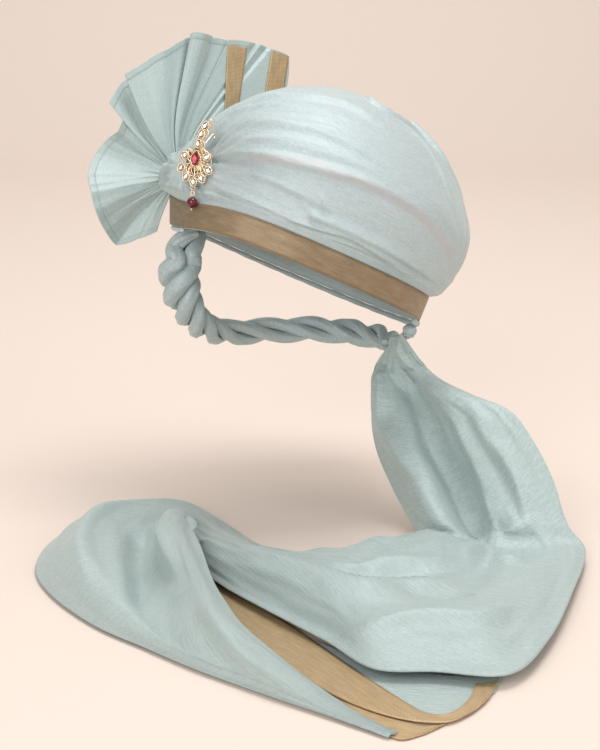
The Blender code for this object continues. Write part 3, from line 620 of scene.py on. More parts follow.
class Graph:
    """Node tree of one material."""

    def __init__(self, name: str) -> None:
        """Make the material with its shader.

        Args:
            name: Name of the material.
        """
        self.material = bpy.data.materials.new(name)
        self.material.use_nodes = True
        self.tree = self.material.node_tree
        self.shader = self.tree.nodes["Principled BSDF"]

    @staticmethod
    def find(sockets: Any, key: str | int) -> bpy.types.NodeSocket:
        """Socket of that number, identifier or name."""
        if isinstance(key, int):
            return sockets[key]
        for socket in sockets:
            if socket.identifier == key:
                return socket
        return sockets[key]

    def put(self, socket: bpy.types.NodeSocket, value: Any) -> None:
        """Link a value to a socket, or set a plain number or colour on it."""
        if isinstance(value, Value):
            self.tree.links.new(value.socket, socket)
        elif isinstance(value, tuple) and len(value) == 3 and socket.type == "RGBA":
            socket.default_value = (*value, 1.0)
        else:
            socket.default_value = value

    def node(self, kind: str, settings: dict[str, Any] | None = None,
             values: dict[str | int, Any] | None = None, output: str | int = 0) -> Value:
        """Add any other node.

        Args:
            kind: Type of the node.
            settings: Settings of the node, or the stops of a ramp, which are set first.
            values: Numbers, colours or values of its sockets, by name, identifier or number.
            output: Name, identifier or number of the output that is used.

        Returns:
            The node's output.
        """
        made = self.tree.nodes.new(kind)
        for name, setting in (settings or {}).items():
            if name == "stops":
                ramp = made.color_ramp
                while len(ramp.elements) < len(setting):
                    ramp.elements.new(0.5)
                for element, (place, colour) in zip(ramp.elements, setting):
                    element.position = place
                    element.color = (*colour, 1.0)
            else:
                setattr(made, name, setting)
        for key, value in (values or {}).items():
            self.put(self.find(made.inputs, key), value)
        return Value(self, self.find(made.outputs, output))

    def mixed(self, factor: Any, first: Any, second: Any) -> Value:
        """Mix two colours.

        Args:
            factor: How much of the second one there is.
            first: First colour.
            second: Second colour.

        Returns:
            The mixed colour.
        """
        values = {"Factor_Float": factor, "A_Color": first, "B_Color": second}
        return self.node("ShaderNodeMix", {"data_type": "RGBA"}, values, "Result_Color")

    def flat_places(self) -> tuple[Value, Value]:
        """Places along and across the flat cloth in metres."""
        place = self.node("ShaderNodeUVMap", {"uv_map": "flat_cloth"})
        apart = self.tree.nodes.new("ShaderNodeSeparateXYZ")
        self.tree.links.new(place.socket, apart.inputs[0])
        return Value(self, apart.outputs[0]), Value(self, apart.outputs[1])

    def placed(self, x: Any, y: Any, z: Any = 0.0) -> Value:
        """Vector of three places."""
        return self.node("ShaderNodeCombineXYZ", None, {0: x, 1: y, 2: z})

    def noise(self, vector: Value, scale: float = 1.0, detail: float = 2.0, roughness: float = 0.5) -> Value:
        """Noise between 0 and 1 at a vector."""
        values = {"Vector": vector, "Scale": scale, "Detail": detail, "Roughness": roughness}
        return self.node("ShaderNodeTexNoise", None, values)

    def ramp(self, factor: Any, low: float, high: float) -> Value:
        """Soft step from 0 at low to 1 at high."""
        settings = {"interpolation_type": "SMOOTHSTEP"}
        return self.node("ShaderNodeMapRange", settings, {0: factor, 1: low, 2: high, 3: 0.0, 4: 1.0})

    def bump(self, height: Value, distance: float, strength: float = 1.0, under: Any = None) -> Value:
        """Bumped normal of a height from 0 to 1."""
        values: dict[str | int, Any] = {"Height": height, "Distance": distance, "Strength": strength}
        if under is not None:
            values["Normal"] = under
        return self.node("ShaderNodeBump", None, values)

    def dress(self, **values: Any) -> bpy.types.Material:
        """Set the shader's sockets, whose names have _ for spaces, and return the material."""
        for name, value in values.items():
            self.put(self.shader.inputs[name.replace("_", " ")], value)
        return self.material


# Finishes
class Slot(Enum):
    """Material slots of the record."""

    MINT = "mint_tissue"
    SHEER = "mint_tissue_sheer"
    ZARI = "gold_zari"
    METAL = "gold_metal"
    CLEAR = "clear_crystal"
    RED = "red_crystal"


@dataclass(frozen=True)
class TissueSilk:
    """Thin tissue silk: a fine slubby weave with a soft sheen."""

    name: str
    body: tuple[float, float, float] = (0.36, 0.45, 0.45)
    light: tuple[float, float, float] = (0.61, 0.69, 0.71)
    blush: tuple[float, float, float] = (0.50, 0.49, 0.49)
    alpha: float = 1.0
    hem: float = 0.0
    crumple: float = 0.0003
    crease_shadow: tuple[float, float, float, float] | None = None

    def make(self) -> bpy.types.Material:
        """Make the material."""
        graph = Graph(self.name)
        u, v = graph.flat_places()
        weft = graph.noise(graph.placed(u * 260, v * 2600), 1.0, 3.0, 0.6)
        warp = graph.noise(graph.placed(u * 2600, v * 260, 4.0), 1.0, 3.0, 0.6)
        slub = graph.noise(graph.placed(u * 80, v * 900, 9.0), 1.0, 2.0, 0.5)
        cloud = graph.noise(graph.placed(u * 22, v * 22, 2.0), 1.0, 3.0, 0.5)
        grain = graph.noise(graph.placed(u * 900, v * 1100, 41.0), 1.0, 2.0, 0.7)
        tone = weft * 0.36 + warp * 0.24 + slub * 0.18 + grain * 0.22
        colour = graph.mixed(graph.ramp(tone, 0.30, 0.72), self.body, self.light)
        colour = graph.mixed(graph.ramp(cloud, 0.55, 0.8) * 0.3, colour, self.blush)
        thread = graph.noise(graph.placed(u * 40, v * 1100, 17.0), 1.0, 1.0, 0.5)
        pick = graph.noise(graph.placed(u * 1100, v * 40, 23.0), 1.0, 1.0, 0.5)
        slubs = (graph.ramp(thread, 0.66, 0.74) + graph.ramp(pick, 0.68, 0.76)).clamped()
        colour = graph.mixed(slubs * 0.3, colour, (0.78, 0.85, 0.86))
        # Painted shade: a pinkish-grey line mixed into the colour along the crown's main crease, where the
        # crease's shadow falls.
        if self.crease_shadow:
            middle, high, bow, half = self.crease_shadow
            off = (v - (high - bow * (u - middle) * (u - middle))).size()
            band = graph.ramp(off, half, half * 0.2) * graph.ramp(u, -0.11, -0.05) * graph.ramp(u, 0.17, 0.10)
            colour = graph.mixed(band * 0.5, colour, (0.53, 0.49, 0.50))
        crinkle = graph.noise(graph.placed(u * 90, v * 240, 31.0), 1.0, 4.0, 0.6)
        height = weft * 0.5 + warp * 0.4 + slub * 0.3 + grain * 0.4 + slubs * 0.4
        if self.hem:
            stitch = (graph.ramp((v - self.hem).size(), 0.0008, 0.0003)
                      * graph.ramp((u * 1800).sine(), -0.2, 0.4))
            inside = graph.ramp(v, self.hem + 0.0006, self.hem - 0.0002)
            colour = graph.mixed(inside * 0.3, colour, self.body)
            height = height + inside * 1.2 - stitch * 1.4
        thread_u = (u * 5200).sine()
        thread_v = (v * 5200).sine()
        height = height + thread_u * thread_v * 0.08
        rough = 0.42 + tone * 0.24
        return graph.dress(Base_Color=colour, Roughness=rough, Metallic=0.18, Sheen_Weight=0.35,
                           Sheen_Roughness=0.4, Sheen_Tint=(0.9, 1.0, 0.98), Alpha=self.alpha,
                           Normal=graph.bump(height, 0.00024, 0.8, graph.bump(crinkle, self.crumple, 0.8)))


@dataclass(frozen=True)
class ZariWeave:
    """Dull gold zari border: fine cross ribs between two plain hems."""

    name: str
    body: tuple[float, float, float] = (0.26, 0.18, 0.11)
    light: tuple[float, float, float] = (0.50, 0.38, 0.25)
    rib: float = 0.0011
    width: float = 0.020

    def make(self) -> bpy.types.Material:
        """Make the material."""
        graph = Graph(self.name)
        u, v = graph.flat_places()
        ribs = (u * (2 * math.pi / self.rib)).sine() * 0.5 + 0.5
        picks = (v * (2 * math.pi / 0.0007)).sine() * 0.5 + 0.5
        wear = graph.noise(graph.placed(u * 60, v * 260), 1.0, 3.0, 0.6)
        grain = graph.noise(graph.placed(u * 900, v * 900, 3.0), 1.0, 2.0, 0.6)
        edge = (v - self.width / 2).size()
        hem = graph.ramp((edge - (self.width / 2 - 0.0016)).size(), 0.0005, 0.0002)
        tone = ribs * 0.25 + picks * 0.15 + wear * 0.4 + grain * 0.25
        colour = graph.mixed(graph.ramp(tone, 0.35, 0.75), self.body, self.light)
        colour = graph.mixed(hem * 0.4, colour, self.body)
        height = ribs * 0.6 + picks * 0.3 + grain * 0.3 - hem * 0.7
        return graph.dress(Base_Color=colour, Roughness=0.36 + grain * 0.2, Metallic=0.45,
                           Normal=graph.bump(height, 0.00018, 0.7))


@dataclass(frozen=True)
class Gilt:
    """Bright gilt metal with faint casting marks; the same noise also mixes in a pale colour as painted
    highlight spots.
    """

    name: str
    colour: tuple[float, float, float] = (0.70, 0.52, 0.32)

    def make(self) -> bpy.types.Material:
        """Make the material."""
        graph = Graph(self.name)
        place = graph.node("ShaderNodeTexCoord", None, None, "Object")
        marks = graph.noise(place, 900.0, 3.0, 0.6)
        # Partly painted highlight: the noise mixes a pale highlight colour into the gold, besides the casting
        # marks' own tone.
        colour = graph.mixed(graph.ramp(marks, 0.3, 0.7), self.colour, (0.92, 0.79, 0.58))
        return graph.dress(Base_Color=colour, Metallic=1.0, Roughness=0.16 + marks * 0.16,
                           Normal=graph.bump(marks, 0.0001, 0.35))


@dataclass(frozen=True)
class CutStone:
    """Foil-backed cut stone, with painted glints: a noise mixes a bright glint colour into its base colour.
    """

    name: str
    deep: tuple[float, float, float]
    glint_colour: tuple[float, float, float]
    metallic: float

    def make(self) -> bpy.types.Material:
        """Make the material."""
        graph = Graph(self.name)
        place = graph.node("ShaderNodeTexCoord", None, None, "Object")
        # Painted glints: bright patches mixed into the colour stand in for flashes of reflected light.
        painted_glint = graph.noise(place, 450.0, 1.0, 0.4)
        colour = graph.mixed(graph.ramp(painted_glint, 0.4, 0.6), self.deep, self.glint_colour)
        return graph.dress(Base_Color=colour, Metallic=self.metallic, Roughness=0.06, Coat_Weight=0.4,
                           Coat_Roughness=0.03)


@dataclass(frozen=True)
class PaleFloor:
    """Plain pale studio floor."""

    name: str = "pale_floor"
    colour: tuple[float, float, float] = (0.83, 0.72, 0.64)

    def make(self) -> bpy.types.Material:
        """Make the material."""
        graph = Graph(self.name)
        return graph.dress(Base_Color=self.colour, Roughness=0.9)


class Finishes:
    """All the finishes, each made once."""

    def __init__(self) -> None:
        """Make every material."""
        # The crown's copy paints a pinkish-grey crease shadow line into its colour (painted shade).
        self.crown = TissueSilk("mint_tissue_crown", crumple=0.0007, crease_shadow=(0.02, 0.081, 2.2, 0.007)).make()
        # Painted shade: the tail's copy of the mint tissue is darker than the crown's, to stand in for shade
        # over the whole tail.
        self.tail = TissueSilk("mint_tissue_tail_shaded", body=(0.31, 0.40, 0.39), light=(0.60, 0.69, 0.68),
                               blush=(0.44, 0.47, 0.46), crumple=0.0010).make()
        self.roll = TissueSilk("mint_tissue_roll", body=(0.32, 0.42, 0.42)).make()
        self.fan = TissueSilk("mint_tissue_fan", body=(0.36, 0.46, 0.45), light=(0.62, 0.71, 0.70),
                              blush=(0.55, 0.60, 0.57), alpha=0.94, hem=0.0055).make()
        self.band = ZariWeave("gold_zari_band", body=(0.21, 0.145, 0.085), light=(0.44, 0.335, 0.21)).make()
        # Painted light: the border's copy of the zari is lighter than the band's, to offset the shade that it
        # lies in.
        self.border = ZariWeave("gold_zari_border_lit", body=(0.42, 0.29, 0.15), light=(0.76, 0.57, 0.34),
                                width=0.030).make()
        self.bar = ZariWeave("gold_zari_bar", body=(0.36, 0.25, 0.13), light=(0.68, 0.51, 0.30),
                             width=0.012).make()
        self.metal = Gilt("gilt_metal").make()
        self.clear = CutStone("clear_crystal_foiled", (0.34, 0.37, 0.41), (0.92, 0.94, 0.96), 0.85).make()
        self.red = CutStone("red_crystal_foiled", (0.12, 0.0, 0.006), (0.42, 0.003, 0.018), 0.3).make()
        self.bead = CutStone("red_bead_glass", (0.09, 0.001, 0.007), (0.15, 0.003, 0.014), 0.0).make()


def settle(thing: bpy.types.Object, look: bpy.types.Material, slot: Slot, *nodes: str) -> bpy.types.Object:
    """Dress a piece, ride it on the one body and let it replace its nodes.

    Args:
        thing: The piece.
        look: Its material.
        slot: Material slot of the record; not used.
        nodes: Names of the CAD nodes that it stands for.

    Returns:
        The piece.
    """
    thing.data.materials.clear()
    thing.data.materials.append(look)
    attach(thing, "root")
    if nodes:
        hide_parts(*nodes)
    LOG.info("piece %s", thing.name)
    return thing


# Crown
@dataclass
class Crown:
    """Hollow wound crown with its gathers and folds, and the wall under the band."""

    wall: float = 1.6 * MM
    columns_seen: int = 290
    columns_behind: int = 150
    rows: int = 102
    gather: tuple[float, float] = (226, 0.13)
    front: float = 300.0
    fold_gain: float = 1.25
    fold_upper: float = 0.75
    fold_lower: float = 0.6
    flare_share: float = 0.3
    flare_rise: float = 0.06
    creases: tuple[Crease, ...] = (
        Crease(((236, 0.21), (250, 0.25), (262, 0.275), (278, 0.29), (292, 0.31), (306, 0.33), (322, 0.33),
                (336, 0.31), (350, 0.28)), 2.2, 9, 2.6, 0.1, 0.35),
        Crease(((238, 0.18), (254, 0.20), (270, 0.21), (286, 0.20), (302, 0.18)), 1.1, 6, 3),
        Crease(((284, 0.02), (296, 0.05), (310, 0.085), (328, 0.06), (348, 0.03)), 2.4, 6, 2.5),
        Crease(((288, 0.11), (302, 0.125), (320, 0.12), (346, 0.09), (368, 0.05)), 2.0, 6, 3),
        Crease(((300, 0.02), (318, 0.04), (336, 0.02), (350, 0.01)), 1.4, 3, 2),
        Crease(((238, 0.35), (262, 0.43), (284, 0.46), (308, 0.45), (326, 0.41), (350, 0.34)),
               1.1, 11, 5),
        Crease(((242, 0.29), (262, 0.34), (288, 0.38), (308, 0.39), (330, 0.35)), 0.8, 8, 4),
        Crease(((234, 0.10), (246, 0.08), (262, 0.065), (278, 0.05), (292, 0.04)), 1.2, 5, 2.5),
        Crease(((236, 0.04), (252, 0.02), (270, 0.01), (290, 0.02)), 1.1, 4, 2),
        Crease(((224, 0.36), (236, 0.50), (252, 0.60), (280, 0.68), (304, 0.66), (332, 0.60)),
               1.2, 12, 5),
        Crease(((286, 0.92), (306, 0.83), (330, 0.80), (352, 0.79), (366, 0.72)), 2.0, 9, 3),
        Crease(((300, 0.79), (334, 0.74), (346, 0.60), (352, 0.45), (358, 0.32)), 1.1, 10, 5),
        Crease(((291, 0.25), (295, 0.21), (300, 0.165), (306, 0.12)), 1.1, 3.5, 3.5, 0.4, 0.4),
        Crease(((285, 0.20), (291, 0.15), (299, 0.10)), 0.8, 3, 3, 0.4, 0.4),
        Crease(((222, 0.26), (226, 0.36), (236, 0.44), (252, 0.52), (276, 0.56)), 0.9, 8, 4),
        Crease(((356, 0.90), (362, 0.80), (366, 0.68), (372, 0.52)), 2.2, 7, 3, 0.3, 0.5),
        Crease(((184, 0.14), (156, 0.18), (110, 0.16), (64, 0.08)), 2.0, 7, 3),
        Crease(((182, 0.32), (150, 0.42), (110, 0.40), (70, 0.30)), 1.8, 9, 4),
        Crease(((178, 0.50), (140, 0.60), (92, 0.60), (50, 0.50)), 1.6, 9, 4),
        Crease(((190, 0.66), (150, 0.78), (90, 0.80), (40, 0.72)), 1.6, 9, 4),
    )

    def angles(self) -> np.ndarray:
        """Angles of the columns, closer together on the side that shows more."""
        seen = np.linspace(180, 400, self.columns_seen, endpoint=False)
        behind = np.linspace(40, 180, self.columns_behind, endpoint=False)
        return np.concatenate([behind, seen])

    def build(self, finishes: Finishes) -> bpy.types.Object:
        """Make the crown's cloth.

        Args:
            finishes: The finishes.

        Returns:
            The piece that replaces the crown.
        """
        turns = self.angles()
        shares = np.linspace(0, 1, self.rows)
        dome = Cloth(dome_cloth(turns[None, :], shares[:, None]), wrap=True)
        crisp = [replace(fold, height=self.fold_gain * fold.height, upper=self.fold_upper * fold.upper,
                         lower=self.fold_lower * fold.lower) for fold in self.creases]
        height = dome.creased(crisp, dome_cloth)
        height += self.wrinkles(dome)
        height *= ease(0.0, 0.03, shares)[:, None]
        flare = self.flare_share * band_flare(turns, SIZES.band_width)
        height += flare[None, :] * np.exp(-(shares / self.flare_rise) ** 2)[:, None]
        dome = dome.raised(height)
        level = np.array([0, 0.25, 0.5, 0.75, 1.0])[:, None] * SIZES.band_width
        wall = brow_place(turns[None, :], level, band_flare(turns[None, :], level))
        ring = dome.points[-1]
        top = ring.mean(axis=0) + UP * 0.01 * SIZES.crown_height
        cap = [top + (ring - top) * k for k in (0.8, 0.6, 0.4, 0.2)]
        cloth = Cloth(np.concatenate([wall, dome.points, cap]), wrap=True)
        flat = cloth.lengths()
        front = int(np.argmin(np.abs(turns - self.front)))
        flat[..., 0] -= flat[:, front:front + 1, 0]
        thing = cloth.piece("crown_wrap_cloth", self.wall, flat, peak=top)
        settle(thing, finishes.crown, Slot.MINT, "crown_wrap")
        return thing

    def wrinkles(self, dome: Cloth) -> np.ndarray:
        """Fine wrinkles that spread from the gather by the brooch, and a soft rumple all over.

        Args:
            dome: The smooth dome.

        Returns:
            Heights as an array of rows and columns.
        """
        away = dome.points - dome_place(*self.gather)
        reach = np.linalg.norm(away, axis=2)
        turn = np.arctan2(away @ UP, away @ worn_way(self.front))
        fine = tuck(turn * 13, reach * 12, 3) * 5.0 * np.exp(-reach / 0.05)
        long = rumple(turn * 8, reach * 9, 5) * 2.0 * np.exp(-reach / 0.16)
        thin = tuck(turn * 30, reach * 12, 9) * 1.0 * ease(0.03, 0.06, reach) * np.exp(-reach / 0.2)
        close = ease(0.004, 0.02, reach)
        x, y, z = (dome.points @ WORN).transpose(2, 0, 1)
        soft = rumple(x * 22 + y * 8, z * 60 + y * 12, 11) * 0.5 + rumple(x * 9, z * 30 - y * 9, 12) * 0.7
        return (fine + long + thin) * close * MM + soft * MM * 0.7


# Brow band, rolled edge and knots
@dataclass
class BrowBand:
    """Zari band round the brow and the thin rolled edge under it."""

    thickness: float = 0.9 * MM
    columns: int = 360
    roll_radius: float = 1.5 * MM
    roll_turns: tuple[float, float] = (236, 12)

    def build(self, finishes: Finishes) -> None:
        """Make the band and the rolled edge."""
        turns = np.linspace(200, 560, self.columns, endpoint=False)
        heights = np.linspace(0, SIZES.band_width - GAP, 9)
        edge = np.abs(heights / heights[-1] * 2 - 1)[:, None]
        wave = rumple(turns[None, :] / 9, heights[:, None] * 90, 21) * 0.18 * MM
        out = GAP + self.thickness + wave - 0.25 * MM * edge ** 6
        out = out + band_flare(turns[None, :], heights[:, None])
        cloth = Cloth(brow_place(turns[None, :], heights[:, None], out), wrap=True)
        thing = cloth.piece("brow_band_zari", self.thickness)
        settle(thing, finishes.band, Slot.ZARI, "zari_brow_band")

        steps = np.linspace(0, 1, 260)
        angle = self.roll_turns[0] + (self.roll_turns[1] - self.roll_turns[0]) * steps
        radii = self.roll_radius + (SIZES.roll_end - self.roll_radius) * steps
        line = brow_place(angle, -(radii + GAP), 0)

        def crease(turn: np.ndarray, share: np.ndarray) -> np.ndarray:
            """Spiral creases of the rolled edge."""
            twist = turn + share * 60
            return 1 + 0.07 * np.sin(2 * twist) + 0.06 * rumple(share * 40, turn * 0 + 0.5, 4)

        roll = roll_piece("rolled_edge_cloth", line, radii, 14, crease)
        settle(roll, finishes.roll, Slot.MINT, "rolled_edge")


@dataclass
class Knot:
    """Gathered knot of cloth, wound of folds that run over it."""

    name: str
    node: str
    middle: np.ndarray
    radius: float
    ribs: int
    lean: float

    def build(self, finishes: Finishes) -> bpy.types.Object:
        """Make the knot."""
        rows, columns = 44, 84
        rise = np.linspace(0.02, math.pi - 0.02, rows)[:, None]
        turn = np.linspace(0, 2 * math.pi, columns, endpoint=False)[None, :]
        twisted = turn + 0.9 * np.cos(rise)
        rib = np.abs(np.sin(twisted * self.ribs / 2))
        size = self.radius * (0.93 + 0.11 * rib * np.sin(rise) + 0.05 * rumple(twisted * 2, rise * 2, 8))
        x = size * np.sin(rise) * np.cos(turn)
        y = size * np.sin(rise) * np.sin(turn)
        z = -size * np.cos(rise) * np.ones_like(turn)
        tilt = np.array(Matrix.Rotation(math.radians(self.lean), 3, "Y"))
        grid = np.stack([x, y, z], axis=2) @ tilt.T + self.middle
        thing = Cloth(grid, wrap=True).piece(self.name, 0.0, peak=grid[-1].mean(axis=0))
        return settle(closed(thing), finishes.roll, Slot.MINT, self.node)


# Fan
@dataclass
class Fan:
    """Pleated fan that stands out of the side knot, with its two zari bars."""

    reach: float = 135 * MM
    turn: float = 25.0
    lean: float = 15.0
    sweep: float = 0.9
    cloth: float = 0.7 * MM
    bar_cloth: float = 0.8 * MM
    rows: int = 64
    face: int = 11
    straight: float = 0.7
    hem: float = 5.7 * MM
    hem_fold: float = 0.35 * MM
    root_spread: float = 30 * MM
    root_across: float = 9 * MM
    root_back: float = 4 * MM
    knot_across: float = 3 * MM
    knot_back: float = 2 * MM
    pleats: Rows = (
        (262, 0.33, 0.00), (248, 0.40, 0.02), (236, 0.49, 0.00), (226, 0.47, 0.07), (212, 0.44, 0.14),
        (196, 0.42, 0.15), (181, 0.43, 0.09), (168, 0.42, 0.00), (152, 0.40, -0.06), (136, 0.375, -0.08),
        (122, 0.42, -0.075), (127, 0.51, 0.03), (122, 0.54, 0.01), (114, 0.59, -0.045), (106, 0.60, -0.05),
        (111, 0.61, 0.05), (105, 0.63, 0.035), (98, 0.66, 0.01), (88, 0.73, -0.01), (81, 0.82, -0.03),
        (77.5, 0.85, -0.04), (79.5, 0.845, 0.02), (77.5, 0.86, 0.065), (74, 0.87, 0.065), (71.5, 0.88, 0.02),
        (73.5, 0.87, -0.03), (70, 0.89, -0.03), (65.5, 0.91, -0.02), (66, 0.91, 0.00), (62, 0.95, 0.00),
        (59, 0.975, 0.00),
        (57.5, 0.99, -0.025), (56, 1.00, 0.01), (54, 1.015, -0.025), (52.5, 1.025, 0.00), (47, 1.07, 0.00),
        (37, 0.88, 0.00),
    )
    front_bar: Rows = ((65.4, 0.88), (59, 0.93), (49, 0.53), (44, 0.59))
    back_bar: Rows = ((52, 1.02), (46.9, 1.068), (41.5, 0.78), (37.3, 0.875))

    def axes(self) -> tuple[np.ndarray, np.ndarray, np.ndarray]:
        """Directions of the fan's plane: across, up, and towards the viewer."""
        turn, lean = math.radians(self.turn), math.radians(self.lean)
        across = np.array((math.cos(turn), math.sin(turn), 0))
        level = np.array((math.sin(turn), -math.cos(turn), 0))
        up = np.array((0, 0, math.cos(lean))) - level * math.sin(lean)
        return across, up, np.cross(across, up)

    def place(self, angle: Any, radius: Any, out: Any) -> np.ndarray:
        """Points of the fan.

        Args:
            angle: Angle in the fan's plane in degrees.
            radius: Distance from the knot's middle.
            out: Way towards the viewer.

        Returns:
            Points as an array that ends in 3.
        """
        across, up, front = self.axes()
        a = np.radians(angle)
        x, y = radius * np.cos(a), radius * np.sin(a)
        depth = out - self.sweep * np.maximum(x, 0.0)
        tuck_in = np.exp(-(radius / self.root_spread) ** 2)
        x = x + self.root_across * tuck_in
        depth = depth - self.root_back * tuck_in
        return knot_middle() + x[..., None] * across + y[..., None] * up + depth[..., None] * front

    def knot_place(self) -> np.ndarray:
        """Middle of the side knot, tucked into the crown behind the fan's root."""
        across, _, front = self.axes()
        return knot_middle() + across * self.knot_across - front * self.knot_back

    def ripple(self, angle: Any, radius: Any) -> Any:
        """Small folds of the cloth that run from the knot to the hem."""
        far = ease(0.0, 0.05, radius)
        near = np.exp(-radius / 0.022)
        fine = rumple(angle / 3.0, radius * 16, 31) * 0.7 * far
        gather = tuck(angle / 5.0, radius * 20, 32) * 2.2 * near
        soft = rumple(angle / 8.0, radius * 10, 33) * 1.1 * far
        calm = 1 - 0.65 * ease(74, 68, angle)
        return (fine * calm + gather + soft * calm) * MM

    def build(self, finishes: Finishes) -> None:
        """Make the fan and its bars."""
        table = np.asarray(self.pleats, float)
        count = (len(table) - 1) * self.face + 1
        places = np.linspace(0, 1, count)
        marks = np.linspace(0, 1, len(table))
        straight = np.stack([np.interp(places, marks, table[:, k]) for k in range(3)], axis=1)
        line = self.straight * straight + (1 - self.straight) * smooth_rows(table, places)
        angle, reach, lift = line.T
        shares = 1 - (1 - np.linspace(0, 1, self.rows)) ** 1.15
        root = SIZES.knot_radius * 0.7
        radius = root + (reach * self.reach - root) * shares[:, None]
        out = lift * self.reach * shares[:, None] + self.ripple(angle[None, :], radius)
        from_hem = reach * self.reach - radius
        out = out + self.hem_fold * ease(self.hem + 0.5 * MM, self.hem - 0.5 * MM, from_hem)
        cloth = Cloth(self.place(angle[None, :] * np.ones_like(radius), radius, out))
        flat = cloth.lengths()
        flat[..., 1] = flat[-1:, :, 1] - flat[..., 1]
        flat[..., 0] = flat[-1:, :, 0]
        thing = cloth.piece("side_fan_cloth", self.cloth, flat)
        settle(thing, finishes.fan, Slot.SHEER, "side_fan")
        for name, node, corners in (("fan_bar_front_zari", "fan_zari_bar_front", self.front_bar),
                                    ("fan_bar_back_zari", "fan_zari_bar_back", self.back_bar)):
            self.bar(name, node, corners, finishes)

    def bar(self, name: str, node: str, corners: Rows, finishes: Finishes) -> None:
        """Make one zari bar that lies on the fan.

        Args:
            name: Name of the piece.
            node: CAD node that it replaces.
            corners: Angle and distance of the two upper and the two lower corners.
            finishes: The finishes.
        """
        a = np.radians([c[0] for c in corners])
        d = np.array([c[1] for c in corners]) * self.reach
        flat = np.stack([d * np.cos(a), d * np.sin(a)], axis=1).reshape(2, 2, 2)
        down = np.linspace(0, 1, 60)[:, None, None]
        over = np.linspace(0, 1, 11)[None, :, None]
        spot = ((1 - down) * ((1 - over) * flat[0, 0] + over * flat[0, 1])
                + down * ((1 - over) * flat[1, 0] + over * flat[1, 1]))
        angle = np.degrees(np.arctan2(spot[..., 1], spot[..., 0]))
        radius = np.hypot(spot[..., 0], spot[..., 1])
        out = self.ripple(angle, radius) + 0.4 * MM + self.bar_cloth
        out = out + rumple(down[..., 0] * 5 + over[..., 0], over[..., 0] * 2, 41) * 0.4 * MM
        cloth = Cloth(self.place(angle, radius, out)[::-1])
        thing = cloth.piece(name, self.bar_cloth, cloth.turned_lengths())
        settle(thing, finishes.bar, Slot.ZARI, node)


# Twisted roll
@dataclass
class TwistedRoll:
    """Three strands of cloth twisted round each other, behind the right ear and round the nape."""

    strands: int = 3
    radius: float = 5 * MM
    turns: float = 4
    loose: float = 1.25
    swell: float = 1.16
    steps: int = 300
    sides: int = 36
    route: Rows = (
        (-0.81, -0.20, 0.16, 0.8), (-0.89, -0.26, 0.03, 1.2), (-0.91, -0.26, -0.07, 1.2),
        (-0.89, -0.18, -0.18, 1.0), (-0.87, -0.02, -0.27, 0.9), (-0.82, 0.25, -0.34, 0.8),
        (-0.60, 0.60, -0.37, 0.8), (-0.25, 0.78, -0.37, 0.8), (0.15, 0.79, -0.37, 0.8),
        (0.45, 0.66, -0.36, 0.7), (0.58, 0.42, -0.345, 0.5),
    )

    def build(self, finishes: Finishes) -> None:
        """Make the strands."""
        table = np.asarray(self.route, float)
        scale = np.array((SIZES.half_width, SIZES.half_depth, SIZES.seat))
        t = np.linspace(0, 1, self.steps)
        middle = smooth_rows(table[:, :3] * scale, t)
        share = smooth_rows(table[:, 3:], t)[:, 0]
        ways = unit(np.gradient(middle, axis=0))
        side = unit(np.cross(ways, (0.3, 0.2, 0.9)))
        other = np.cross(ways, side)
        spacing = 1 / math.sin(math.pi / self.strands)
        for strand in range(self.strands):
            turn = 2 * math.pi * (self.turns * t + strand / self.strands)
            radii = self.radius * share
            away = ((radii * self.loose + GAP) * spacing)[:, None]
            line = middle + away * (np.cos(turn)[:, None] * side + np.sin(turn)[:, None] * other)
            seed = 50 + strand

            def crease(angle: np.ndarray, way: np.ndarray, seed: int = seed) -> np.ndarray:
                """Lengthwise creases that turn with the strand."""
                spiral = angle - way * 16
                deep = 0.5 + 0.5 * rumple(way * 14, 0.5 + 0 * angle, seed)
                ridges = np.abs(np.sin(spiral * 2.5 + 1.5 * rumple(way * 9, 0 * angle, seed + 3)))
                small = rumple(np.cos(spiral) * 3 + way * 20, np.sin(spiral) * 3, seed + 7)
                return self.swell * (0.93 + 0.13 * ridges * (0.5 + deep) + 0.05 * small)

            thing = roll_piece(f"nape_strand_{strand + 1}_cloth", line, radii, self.sides, crease)
            settle(thing, finishes.roll, Slot.MINT, f"nape_strand_{strand + 1}")


